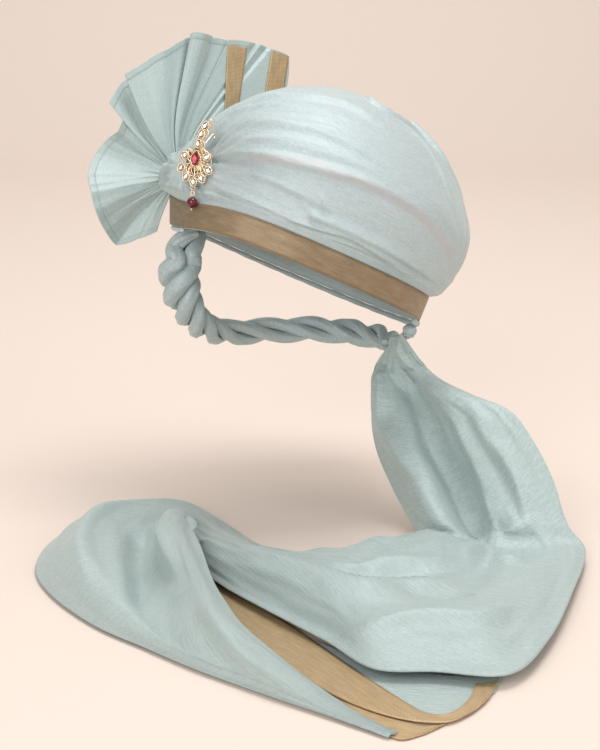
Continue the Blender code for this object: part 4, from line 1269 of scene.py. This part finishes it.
# Tail
@dataclass
class Tail:
    """Long end of the cloth: it falls behind the left ear, lies on the surface and turns over."""

    angle: float = 28.0
    inset: float = 0.84
    spread: float = 100 * MM
    swell: float = 30 * MM
    cloth: float = 1.6 * MM
    wall: float = 1.0 * MM
    strip_wall: float = 0.8 * MM
    along: int = 420
    across: int = 96
    gain: float = 1.15
    floor_gain: float = 0.6
    end_calm: float = 0.85
    fall: Rows = (
        (-0.14, 0.00, 0.66, 0.07, -0.24, 0.735, 0.0, 0.0, 0.0),
        (-0.26, -0.02, 0.56, 0.26, -0.08, 0.57, 0.0, 0.2, 0.2),
        (-0.25, -0.08, 0.46, 0.63, -0.25, 0.53, 0.2, 0.2, 0.4),
        (-0.22, -0.17, 0.34, 0.99, -0.38, 0.50, 0.4, 0.2, 0.4),
        (-0.12, -0.30, 0.24, 1.20, -0.47, 0.41, 0.5, 0.1, 0.4),
        (0.06, -0.48, 0.15, 1.40, -0.56, 0.27, 0.5, 0.1, 0.4),
        (0.28, -0.70, 0.07, 1.56, -0.69, 0.12, 0.4, 0.2, 0.4),
        (0.46, -0.88, 0.02, 1.74, -0.80, 0.04, 0.3, 0.3, 0.4),
    )
    floor: Rows = (
        (0.50, -1.00, 1.08, -1.32, 1.90, -1.62, 0.02, 0.47, 0.40, 0.47, 0.27),
        (0.40, -1.13, 1.08, -1.70, 2.01, -2.53, 0.02, 0.67, 0.33, 0.60, 0.27),
        (0.31, -1.22, 1.00, -2.00, 1.96, -3.18, 0.02, 0.73, 0.30, 0.73, 0.27),
        (0.20, -1.34, 0.73, -2.15, 1.52, -3.34, 0.02, 0.73, 0.33, 0.80, 0.27),
        (0.10, -1.48, 0.53, -2.30, 1.13, -3.44, 0.03, 0.67, 0.43, 0.83, 0.24),
        (-0.06, -1.58, 0.26, -2.26, 0.66, -3.14, 0.04, 0.57, 0.57, 0.80, 0.24),
        (-0.30, -1.62, -0.14, -2.15, 0.06, -2.80, 0.04, 0.33, 0.70, 0.67, 0.24),
        (-0.58, -1.52, -0.44, -2.05, -0.36, -2.54, 0.03, 0.30, 0.60, 0.50, 0.22),
        (-0.88, -1.30, -0.80, -1.85, -0.73, -2.26, 0.02, 0.33, 0.50, 0.43, 0.27),
        (-1.18, -1.10, -1.10, -1.60, -0.92, -2.02, 0.02, 0.47, 0.43, 0.60, 0.53),
        (-1.42, -1.10, -1.27, -1.55, -0.84, -2.06, 0.02, 0.60, 0.43, 1.00, 0.80),
        (-1.80, -1.35, -1.36, -1.75, -0.74, -2.20, 0.02, 0.70, 0.40, 1.13, 0.87),
        (-2.02, -1.96, -1.32, -2.02, -0.60, -2.40, 0.02, 0.77, 0.40, 1.17, 0.90),
        (-1.86, -2.58, -1.12, -2.35, -0.40, -2.70, 0.02, 0.77, 0.37, 1.13, 0.90),
        (-1.49, -3.02, -0.82, -2.75, -0.20, -2.98, 0.02, 0.70, 0.33, 1.13, 0.87),
        (-0.92, -3.40, -0.50, -3.18, 0.02, -3.24, 0.02, 0.50, 0.30, 1.07, 0.83),
        (-0.40, -3.61, -0.22, -3.56, 0.26, -3.49, 0.02, 0.30, 0.27, 0.93, 0.77),
        (0.08, -3.79, 0.18, -3.78, 0.56, -3.68, 0.02, 0.23, 0.30, 0.73, 0.60),
        (0.63, -3.95, 0.69, -3.94, 0.90, -3.87, 0.02, 0.20, 0.30, 0.50, 0.40),
        (1.13, -4.08, 1.16, -4.07, 1.28, -4.02, 0.02, 0.08, 0.12, 0.16, 0.13),
        (1.54, -4.19, 1.55, -4.17, 1.58, -4.13, 0.01, 0.03, 0.06, 0.06, 0.06),
    )
    neck: Rows = ((-4, 3, -4), (-2, 0, -5), (0, -2, -5), (2, -3, -5), (5, -2, -4))
    creases: tuple[Crease, ...] = (
        Crease(((0.06, 0.80), (0.10, 0.85), (0.14, 0.87), (0.17, 0.82), (0.21, 0.77), (0.25, 0.76),
                (0.28, 0.72)), 6, 6, 20, 0.1, 0.2),
        Crease(((0.03, 0.35), (0.06, 0.26), (0.10, 0.16), (0.14, 0.10)), 3, 6, 8, 0.2, 0.4),
        Crease(((0.06, 0.55), (0.13, 0.62), (0.20, 0.58), (0.27, 0.56)), -8, 12, 8, 0.2, 0.1),
        Crease(((0.09, 0.40), (0.15, 0.36), (0.21, 0.38), (0.27, 0.46)), 3.5, 8, 6, 0.3, 0.2),
        Crease(((0.11, 0.20), (0.16, 0.24), (0.20, 0.20), (0.24, 0.22)), 2.5, 7, 5, 0.3, 0.4),
        Crease(((0.275, 0.56), (0.27, 0.44), (0.25, 0.30), (0.245, 0.16)), 6, 7, 9, 0.15, 0.4),
        Crease(((0.29, 0.58), (0.31, 0.40), (0.30, 0.22)), 3.5, 6, 9, 0.2, 0.4),
        Crease(((0.60, 0.30), (0.55, 0.29), (0.50, 0.31), (0.45, 0.36), (0.41, 0.42), (0.37, 0.45),
                (0.34, 0.36)), 5, 5, 15, 0.1, 0.3),
        Crease(((0.52, 0.62), (0.46, 0.60), (0.40, 0.62), (0.34, 0.60)), 2.5, 8, 8, 0.3, 0.3),
        Crease(((0.46, 0.14), (0.42, 0.20), (0.37, 0.22), (0.33, 0.14)), 2.5, 6, 7, 0.3, 0.4),
        Crease(((0.70, 0.45), (0.75, 0.50), (0.80, 0.55), (0.84, 0.64)), -5, 9, 8, 0.2, 0.3),
        Crease(((0.67, 0.28), (0.72, 0.30), (0.78, 0.33), (0.85, 0.36)), 3, 6, 8, 0.2, 0.4),
        Crease(((0.68, 0.75), (0.73, 0.72), (0.78, 0.76), (0.82, 0.82)), 3, 9, 7, 0.3, 0.4),
        Crease(((0.80, 0.20), (0.86, 0.24), (0.91, 0.36), (0.95, 0.45)), 2, 4, 6, 0.3, 0.3),
    )
    under: Rows = (
        (0.30, -2.90, 0.22, -3.10), (0.80, -3.10, 0.76, -3.46), (1.30, -3.20, 1.22, -3.74),
        (1.60, -3.15, 1.60, -3.86), (1.78, -3.05, 1.80, -3.66), (1.84, -2.95, 1.90, -3.30),
    )
    zari_upper: Rows = (
        (-0.52, -2.34, -0.40, -2.66), (0.06, -2.70, 0.10, -3.12), (0.45, -2.97, 0.66, -3.56),
        (0.92, -3.32, 1.12, -3.83), (1.40, -3.66, 1.50, -3.93), (1.63, -3.79, 1.76, -3.88),
        (1.76, -3.74, 1.86, -3.72), (1.80, -3.52, 1.90, -3.46), (1.76, -3.26, 1.88, -3.18),
    )
    zari_lower: Rows = (
        (0.74, -3.60, 0.66, -3.76), (1.12, -3.80, 1.06, -3.96), (1.48, -3.92, 1.40, -4.08),
        (1.66, -3.94, 1.60, -4.17), (1.74, -3.90, 1.70, -4.06), (1.78, -3.86, 1.77, -3.90),
    )

    def root(self) -> np.ndarray:
        """Where the tail comes out, inside the brow behind the left ear."""
        a = math.radians(self.angle)
        return np.array((self.inset * SIZES.half_width * math.cos(a),
                         self.inset * SIZES.half_depth * math.sin(a), 0))

    def sections(self) -> list[list[np.ndarray]]:
        """Sections of the tail from its root to its end, five points in each."""
        root = self.root()
        front = np.array((0.45, -0.89, 0.25))
        neck = tail_knot_middle()
        found = [[neck + np.array((x, y, z)) * MM for x, y, z in self.neck]]
        for lx, ly, lz, rx, ry, rz, *lifts in self.fall:
            left = root + np.array((lx * self.spread, ly * self.spread, (lz - 1) * SIZES.seat))
            right = root + np.array((rx * self.spread, ry * self.spread, (rz - 1) * SIZES.seat))
            inner = [left + (right - left) * s + front * lift * self.swell
                     for s, lift in zip((0.22, 0.45, 0.72), lifts)]
            found.append([left, *inner, right])
        for row in self.floor:
            outer, valley, inner = (root[:2] + np.array(row[i:i + 2]) * self.spread for i in (0, 2, 4))
            places = (outer, outer * 0.6 + valley * 0.4, valley, valley * 0.45 + inner * 0.55, inner)
            found.append([np.array((*p, h * self.swell - SIZES.seat + self.cloth))
                          for p, h in zip(places, row[6:])])
        return found

    def build(self, finishes: Finishes) -> None:
        """Make the tail, the under fold and the borders."""
        sections = np.asarray(self.sections())[:, ::-1]
        t = np.linspace(0, 1, self.along)
        s = np.linspace(0, 1, self.across)
        cloth = Cloth(loft(sections, t, s))
        flat = cloth.lengths()
        width = rumple(t[:, None] * 16, s[None, :] * 7 + t[:, None] * 20, 61) * 1.1
        folds = rumple(t[:, None] * 8, s[None, :] * 15, 62) * 1.1
        fine = (rumple(t[:, None] * 60, s[None, :] * 18, 63) * 0.4
                + rumple(t[:, None] * 25, s[None, :] * 34, 64) * 0.3)
        edge = ease(0, 0.05, s) * ease(0, 0.05, 1 - s)
        ends = ease(0, 0.02, t) * ease(0, 0.08, 1 - t)

        def place(way: Any, over: Any) -> np.ndarray:
            """Points of the smooth tail at places along and across it."""
            lines = smooth_rows(sections, way)
            return np.array([smooth_rows(line, [share])[0] for line, share in zip(lines, over)])

        calm = 1 - self.end_calm * ease(0.70, 0.86, t)[:, None]
        height = (width + folds + fine) * calm * MM + cloth.creased(self.creases, place)
        gain = self.gain + self.floor_gain * ease(0.32, 0.4, t) * ease(0.66, 0.58, t)
        height *= (gain * ends)[:, None] * edge[None, :]
        cloth = cloth.raised(height)
        floor = -SIZES.seat + self.wall + 0.1 * MM
        cloth.points[..., 2] = np.maximum(cloth.points[..., 2], floor)
        thing = cloth.piece("tail_fall_cloth", self.wall, flat)
        settle(thing, finishes.tail, Slot.MINT, "tail_cloth")
        for part in (
            ("tail_under_cloth", "tail_under_fold", self.under, GAP + 0.9 * MM, (0.051, 0.195),
             finishes.tail, Slot.MINT, 71),
            ("tail_border_upper_zari", "tail_zari_upper", self.zari_upper, 2.5 * MM, (0.031, 0.326),
             finishes.border, Slot.ZARI, 72),
            ("tail_border_lower_zari", "tail_zari_lower", self.zari_lower, GAP + 0.9 * MM, (0.017, 0.125),
             finishes.border, Slot.ZARI, 73),
        ):
            self.strip(*part)

    def strip(self, name: str, node: str, rows: Rows, level: float, flat: tuple[float, float],
              look: bpy.types.Material, slot: Slot, seed: int) -> None:
        """Make one flat strip that lies on the surface.

        Args:
            name: Name of the piece.
            node: CAD node that it replaces.
            rows: Places of its back and front edges from the tail's root, as shares of the spread.
            level: Height of its top above the surface.
            flat: Width and length of its flat cloth, as read off the laid strip; not used.
            look: Its material.
            slot: Its material slot.
            seed: Number of its own pattern of waves.
        """
        root = self.root()[:2]
        sections = []
        for bx, by, fx, fy in rows:
            back = root + np.array((bx, by)) * self.spread
            front = root + np.array((fx, fy)) * self.spread
            sections.append([(*back, level - SIZES.seat), (*front, level - SIZES.seat)])
        t = np.linspace(0, 1, 160)
        s = np.linspace(0, 1, 14)
        cloth = Cloth(loft(sections, t, s))
        wave = 0.5 + 0.5 * rumple(t[:, None] * 12, s[None, :] * 1.5, seed)
        cloth.points[..., 2] += wave * 0.25 * MM
        thing = cloth.piece(name, self.strip_wall, cloth.turned_lengths())
        settle(thing, look, slot, node)


# Brooch
@dataclass
class Goldwork:
    """Mesh of many soldered wires, beads and seats."""

    work: bmesh.types.BMesh = field(default_factory=bmesh.new)

    def ring(self, points: Any) -> list[bmesh.types.BMVert]:
        """Add a ring of points."""
        return [self.work.verts.new(tuple(point)) for point in points]

    def walls(self, low: list[bmesh.types.BMVert], high: list[bmesh.types.BMVert]) -> None:
        """Join two rings of equally many points by a row of faces."""
        for j in range(len(low)):
            k = (j + 1) % len(low)
            self.work.faces.new((low[j], low[k], high[k], high[j]))

    def ends(self, first: list[bmesh.types.BMVert], last: list[bmesh.types.BMVert]) -> None:
        """Close a row of rings at its two ends."""
        self.work.faces.new(first[::-1])
        self.work.faces.new(last)

    def wire(self, line: np.ndarray, radius: float, closed: bool = False, sides: int = 8) -> None:
        """Add a round wire along a line.

        Args:
            line: Points of the wire's middle.
            radius: Its radius, or one at each point.
            closed: Whether its ends join.
            sides: Number of its sides.
        """
        steps = len(line)
        if closed:
            ways = np.roll(line, -1, axis=0) - np.roll(line, 1, axis=0)
        else:
            ways = np.gradient(line, axis=0)
        ways = unit(ways)
        side = unit(np.cross(ways, (0, 0, 1.0)))
        over = np.cross(side, ways)
        turns = 2 * math.pi * np.arange(sides) / sides
        size = np.broadcast_to(np.asarray(radius, float), (steps,))[:, None, None]
        ring = line[:, None] + size * (np.cos(turns)[None, :, None] * side[:, None]
                                       + np.sin(turns)[None, :, None] * over[:, None])
        verts = [self.ring(row) for row in ring]
        for i in range(steps if closed else steps - 1):
            self.walls(verts[i], verts[(i + 1) % steps])
        if not closed:
            self.ends(verts[0], verts[-1])

    def bead(self, place: Any, radius: float, detail: int = 1) -> None:
        """Add a small bead of gold."""
        bmesh.ops.create_icosphere(self.work, subdivisions=detail, radius=radius,
                                   matrix=Matrix.Translation(Vector(place)))

    def beads(self, line: np.ndarray, radius: float, closed: bool = False) -> None:
        """Add beads side by side along a line."""
        if closed:
            line = np.concatenate([line, line[:1]])
        way = way_along(line)
        count = max(2, int(way[-1] / (1.9 * radius)))
        for spot in np.linspace(0, way[-1], count, endpoint=not closed):
            self.bead([np.interp(spot, way, line[:, k]) for k in range(3)], radius)

    def seat(self, outline: np.ndarray, low: float, high: float) -> None:
        """Add the solid seat under a stone."""
        bottom, top = (self.ring((x, y, z) for x, y in outline[:, :2]) for z in (low, high))
        self.walls(bottom, top)
        self.ends(bottom, top)

    def piece(self, name: str, place: Matrix, smooth: bool = True) -> bpy.types.Object:
        """Make the object at its place, and free the work mesh."""
        bmesh.ops.recalc_face_normals(self.work, faces=self.work.faces)
        self.work.transform(place)
        mesh = bpy.data.meshes.new(name)
        self.work.to_mesh(mesh)
        self.work.free()
        if smooth:
            mesh.shade_smooth()
        return linked(name, mesh)


@dataclass(frozen=True)
class Stone:
    """One pear-cut stone: length and width, middle, turn of its point in degrees and pointedness."""

    size: tuple[float, float]
    middle: tuple[float, float]
    turn: float
    point: float

    def outline(self, grow: float, count: int, z: float = 0.0, shift: float = 0.0) -> np.ndarray:
        """Outline of the stone in the face's own frame.

        Args:
            grow: How far the outline is grown.
            count: Number of points.
            z: Height of the outline.
            shift: Turn of the first point, as a share of a step.

        Returns:
            One row of three numbers for each point.
        """
        a = 2 * math.pi * (np.arange(count) + shift) / count + math.pi / 2
        narrow = 1 - self.point * np.maximum(np.sin(a), 0.0) ** 1.3
        x = (self.size[1] / 2 * narrow + grow) * np.cos(a)
        y = (self.size[0] / 2 + grow) * np.sin(a)
        t = math.radians(self.turn)
        return np.stack([self.middle[0] + x * math.cos(t) - y * math.sin(t),
                         self.middle[1] + x * math.sin(t) + y * math.cos(t), np.full_like(x, z)], axis=1)

    def cut(self, floor: float) -> Goldwork:
        """Cut the stone, with its back at a height: a girdle, a row of kite facets and a table."""
        cut = Goldwork()
        wide = self.size[1]
        girdle = ((0.20, 0.0, 0.0), (0.0, 0.16, 0.0), (0.09, 0.31, 0.5), (0.22, 0.41, 0.0))
        back, edge, kites, table = (cut.ring(self.outline(-GAP - less * wide, 12, floor + rise * wide, shift))
                                    for less, rise, shift in girdle)
        cut.walls(back, edge)
        for j in range(12):
            k = (j + 1) % 12
            for corners in ((edge[j], edge[k], kites[j]), (edge[k], kites[k], kites[j]),
                            (kites[j], table[k], table[j]), (kites[j], kites[k], table[k])):
                cut.work.faces.new(corners)
        cut.ends(back, table)
        return cut


def both(*right: tuple[float, float]) -> tuple[Rows, Rows]:
    """Route on the brooch's left side, mirrored from the right one, and the right one."""
    return tuple((-x, y) for x, y in right), right


@dataclass
class Brooch:
    """Gilt brooch with foiled stones in granulated rims, scrolls and loops, its pin and its drop."""

    angle: float = 234.0
    height: float = 27 * MM
    turn: float = 8.0
    lean: float = 3.0
    back_lean: float = 12.0
    standoff: float = 15.6 * MM
    plate: float = 1.3 * MM
    wire: float = 0.55 * MM
    stone: tuple[float, float] = (5.2 * MM, 4.2 * MM)
    red: tuple[float, float] = (10.5 * MM, 7.0 * MM)
    bead: float = 4.1 * MM
    bail: float = 1.5 * MM
    beaded: int = 6
    stones: Rows = (
        (0.8, 11.0, 0), (2.4, 18.2, -15), (5.0, 24.4, -35), (-8.6, 1.6, 70), (8.6, 1.6, -70),
        (-10.6, -8.0, 125), (-6.2, -14.4, 155), (0.0, -17.4, 180), (6.2, -14.4, 205), (10.6, -8.0, 235),
    )
    scrolls: tuple[Rows, ...] = (
        ((-1.7, 4.4), (-1.9, 9.5), (-0.6, 15.0), (0.6, 20.5), (3.2, 26.4), (7.4, 28.8), (10.6, 26.6),
         (11.0, 23.8)),
        ((1.8, 4.4), (3.6, 10.5), (4.6, 15.6), (6.6, 21.0), (8.6, 24.6)),
        *both((3.6, 3.6), (6.0, 6.2), (9.0, 4.6), (11.4, 0.6), (12.2, -4.0), (10.6, -8.0)),
        *both((10.6, -8.0), (8.8, -11.6), (6.2, -14.4), (3.2, -16.8), (0.0, -17.4)),
        *both((3.0, -4.0), (6.8, -4.6), (10.6, -8.0)),
        *both((2.2, -5.0), (4.6, -9.0), (6.2, -14.4)),
        ((0.0, -5.6), (0.0, -11.0), (0.0, -17.4)),
        *both((8.6, 1.6), (5.6, -1.6), (3.4, -3.0)),
        ((-1.9, 9.5), (1.0, 7.6), (3.6, 10.5)),
        ((-0.6, 15.0), (2.2, 13.6), (4.6, 15.6)),
        ((0.6, 20.5), (3.6, 21.6), (6.6, 21.0)),
    )
    backing: Rows = (
        (0.0, 9.0), (-3.0, 6.0), (-6.6, 3.6), (-7.4, -1.0), (-7.0, -6.0), (-5.0, -10.4), (0.0, -12.4),
        (5.0, -10.4), (7.0, -6.0), (7.4, -1.0), (6.6, 3.6), (4.8, 7.0), (4.2, 11.0), (0.0, 9.0),
    )
    loops: tuple[Rows, ...] = (
        *both((3.9, -3.0), (5.8, -5.4), (6.6, -8.8), (4.4, -11.6)),
        *both((3.0, -4.4), (4.4, -6.6), (4.8, -9.2), (2.6, -11.4)),
        *both((1.4, -5.4), (2.6, -7.4), (2.4, -9.8), (1.0, -11.6)),
        ((-6.8, -11.2), (-3.4, -12.4), (0.0, -13.0), (3.4, -12.4), (6.8, -11.2)),
        ((4.2, 0.4), (6.0, 2.6), (7.0, 5.2), (4.8, 7.4), (3.4, 5.4)),
        ((-4.2, 0.4), (-5.8, 2.4), (-6.4, 4.6), (-4.4, 6.2), (-3.0, 4.8)),
        ((3.0, 6.2), (5.2, 8.6), (5.6, 11.4), (4.0, 12.6)),
        ((4.6, 15.0), (7.0, 17.4), (7.6, 20.2), (6.2, 21.4)),
        ((5.6, 7.6), (7.6, 5.6), (9.6, 4.4)),
        *both((8.8, -2.6), (10.2, -4.0), (9.0, -5.6), (7.6, -4.6)),
    )

    def face(self) -> Matrix:
        """Place and turn of the brooch's face."""
        wall = Vector(dome_place(self.angle, share_at(self.height), folds=1.0))
        turn = Matrix.Rotation(math.radians(self.turn), 4, "Z")
        stand = Matrix.Rotation(math.radians(90 - self.back_lean), 4, "X")
        lean = Matrix.Rotation(-math.radians(self.lean), 4, "Z")
        whole = turn @ stand @ lean
        return Matrix.Translation(wall + whole.to_3x3() @ Vector((0, 0, self.standoff))) @ whole

    def cut_stones(self) -> list[Stone]:
        """All the stones, the red one first."""
        clear = [Stone(self.stone, (x * MM, y * MM), turn, 0.3) for x, y, turn in self.stones]
        return [Stone(self.red, (0.0, 0.0), 0.0, 0.6), *clear]

    @staticmethod
    def line(route: Rows, points: int, height: float) -> np.ndarray:
        """Smooth line through a route in millimetres, with so many points to each of its rows."""
        flat = smooth_rows(np.array(route) * MM, np.linspace(0, 1, points * len(route)))
        return np.column_stack([flat, np.full(len(flat), height)])

    def build(self, finishes: Finishes) -> None:
        """Make the gold work and the stones, and dress the pin and the drop."""
        gold = Goldwork()
        middle = self.plate / 2
        seat = middle + self.wire
        stones = self.cut_stones()
        for stone in stones:
            gold.seat(stone.outline(0.5 * MM, 24), 0.1 * MM, seat)
            gold.wire(stone.outline(0.45 * MM, 40, seat + 0.25 * MM), 0.42 * MM, True)
            gold.beads(stone.outline(0.95 * MM, 60, seat - 0.1 * MM), 0.40 * MM, True)
        back = smooth_rows(np.array(self.backing) * MM, np.linspace(0, 1, 48, endpoint=False))
        gold.seat(back, 0.05 * MM, 0.35 * MM)
        for route in self.scrolls:
            gold.wire(self.line(route, 7, middle), 0.6 * MM)
        for route in self.scrolls[:self.beaded]:
            gold.beads(self.line(route, 12, middle + 0.55 * MM), 0.36 * MM)
        for route in self.loops:
            line = self.line(route, 7, middle + 0.25 * MM)
            gold.wire(line, 0.46 * MM)
            gold.bead((*line[-1, :2], middle + 0.5 * MM), 0.62 * MM, 2)
        lowest = min(row[1] for row in self.stones) * MM - self.stone[0] / 2
        bail = lowest - self.bail - 0.38 * MM
        turns = np.linspace(0, 2 * math.pi, 24, endpoint=False)
        ring = np.stack([self.bail * np.cos(turns), bail + self.bail * np.sin(turns),
                         np.full(24, middle)], axis=1)
        gold.wire(ring, 0.34 * MM, True)
        settle(gold.piece("brooch_openwork", self.face()), finishes.metal, Slot.METAL, "brooch_frame")

        for number, stone in enumerate(stones):
            node = f"clear_stone_{number}" if number else "red_pear_stone"
            look, slot = (finishes.clear, Slot.CLEAR) if number else (finishes.red, Slot.RED)
            cut = stone.cut(seat + GAP)
            settle(cut.piece(f"{node}_cut", self.face(), smooth=False), look, slot, node)
        low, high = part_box("red_bead")
        centre = (np.array(low) + np.array(high)) / 2
        ball = Goldwork()
        ball.bead(centre, self.bead, 4)
        settle(ball.piece("red_bead_polished", Matrix.Identity(4)), finishes.bead, Slot.RED, "red_bead")
        for name in ("brooch_pin", "jump_ring", "drop_cap", "drop_tip"):
            self.dress(name, finishes.metal)

    @staticmethod
    def dress(name: str, look: bpy.types.Material) -> None:
        """Give a CAD node a better material."""
        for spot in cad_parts[name].material_slots:
            spot.material = look
        LOG.info("node %s dressed", name)


# Studio
@dataclass
class Studio:
    """Pale floor, soft lights and the camera."""

    turn: float = 24.3
    half_width: float = 5.0
    wall_start: float = 1.6
    wall_bend: float = 0.9
    white: tuple[float, float, float] = (1.0, 0.99, 0.98)
    sky: tuple[float, float, float] = (1.0, 0.98, 0.965)
    sky_strength: float = 0.46
    camera_place: tuple[float, float, float] = (0.6232, -1.3785, 0.3277)
    camera_pitch: float = 74.78
    camera_turn: float = 24.295
    camera_lens: float = 96.0

    def build(self) -> None:
        """Make the floor, the lights, the sky and the camera."""
        low = -SIZES.seat - 0.4 * MM
        bend = [(self.wall_start + self.wall_bend * math.sin(a), low + self.wall_bend * (1 - math.cos(a)))
                for a in np.linspace(0, math.pi / 2, 40)]
        line = [(-4.0, low), (-1.0, low), (0.5, low), *bend, (bend[-1][0], low + 3.5)]
        over = np.linspace(-self.half_width, self.half_width, 9)
        floor = Cloth(np.array([[(x, y, z) for x in over] for y, z in line])).piece("studio_floor", 0.0)
        floor.data.transform(Matrix.Rotation(math.radians(self.turn), 4, "Z"))
        floor.data.materials.append(PaleFloor().make())

        self.light("key_light", (0.25, 0.1, 1.6), (0.0, -0.1, 0.0), 0.8, 15.0)
        self.light("front_light", (0.1, -2.0, 0.9), (0.0, -0.05, 0.0), 1.2, 20.0)
        self.light("side_light", (1.7, -0.3, 0.7), (0.0, -0.1, -0.05), 1.2, 6.0)
        self.light("back_light", (-0.6, 1.1, 1.7), (-0.8, 2.0, 0.1), 1.6, 12.0)

        world = bpy.data.worlds.new("soft_sky")
        world.use_nodes = True
        sky = world.node_tree.nodes["Background"]
        sky.inputs["Color"].default_value = (*self.sky, 1.0)
        sky.inputs["Strength"].default_value = self.sky_strength
        bpy.context.scene.world = world
        bpy.context.scene.view_settings.view_transform = "Standard"

        lens = bpy.data.cameras.new("camera")
        lens.lens = self.camera_lens
        lens.sensor_width = 36
        lens.clip_end = 50
        camera = linked("camera", lens)
        camera.location = self.camera_place
        camera.rotation_euler = (math.radians(self.camera_pitch), 0, math.radians(self.camera_turn))
        bpy.context.scene.camera = camera

    def light(self, name: str, place: tuple[float, float, float], target: tuple[float, float, float],
              size: float, power: float) -> None:
        """Make one soft square light.

        Args:
            name: Name of the light.
            place: Where it stands.
            target: Point that it is turned to.
            size: Length of its side.
            power: Its power in watts.
        """
        lamp = bpy.data.lights.new(name, "AREA")
        lamp.shape = "SQUARE"
        lamp.size = size
        lamp.energy = power
        lamp.color = self.white
        thing = linked(name, lamp)
        thing.location = place
        thing.rotation_euler = (Vector(place) - Vector(target)).to_track_quat("Z", "Y").to_euler()


def main() -> None:
    """Build the sub-assemblies in order."""
    logging.basicConfig(level=logging.INFO, format="%(message)s")
    finishes = Finishes()
    Studio().build()
    Crown().build(finishes)
    BrowBand().build(finishes)
    fan = Fan()
    side_radius = 0.8 * SIZES.knot_radius
    Knot("side_knot_cloth", "side_knot", fan.knot_place(), side_radius, 14, 20.0).build(finishes)
    Knot("tail_knot_cloth", "tail_knot", tail_knot_middle(), SIZES.tail_knot_radius, 10,
         -30.0).build(finishes)
    fan.build(finishes)
    TwistedRoll().build(finishes)
    Tail().build(finishes)
    Brooch().build(finishes)


if __name__ == "__main__":
    main()
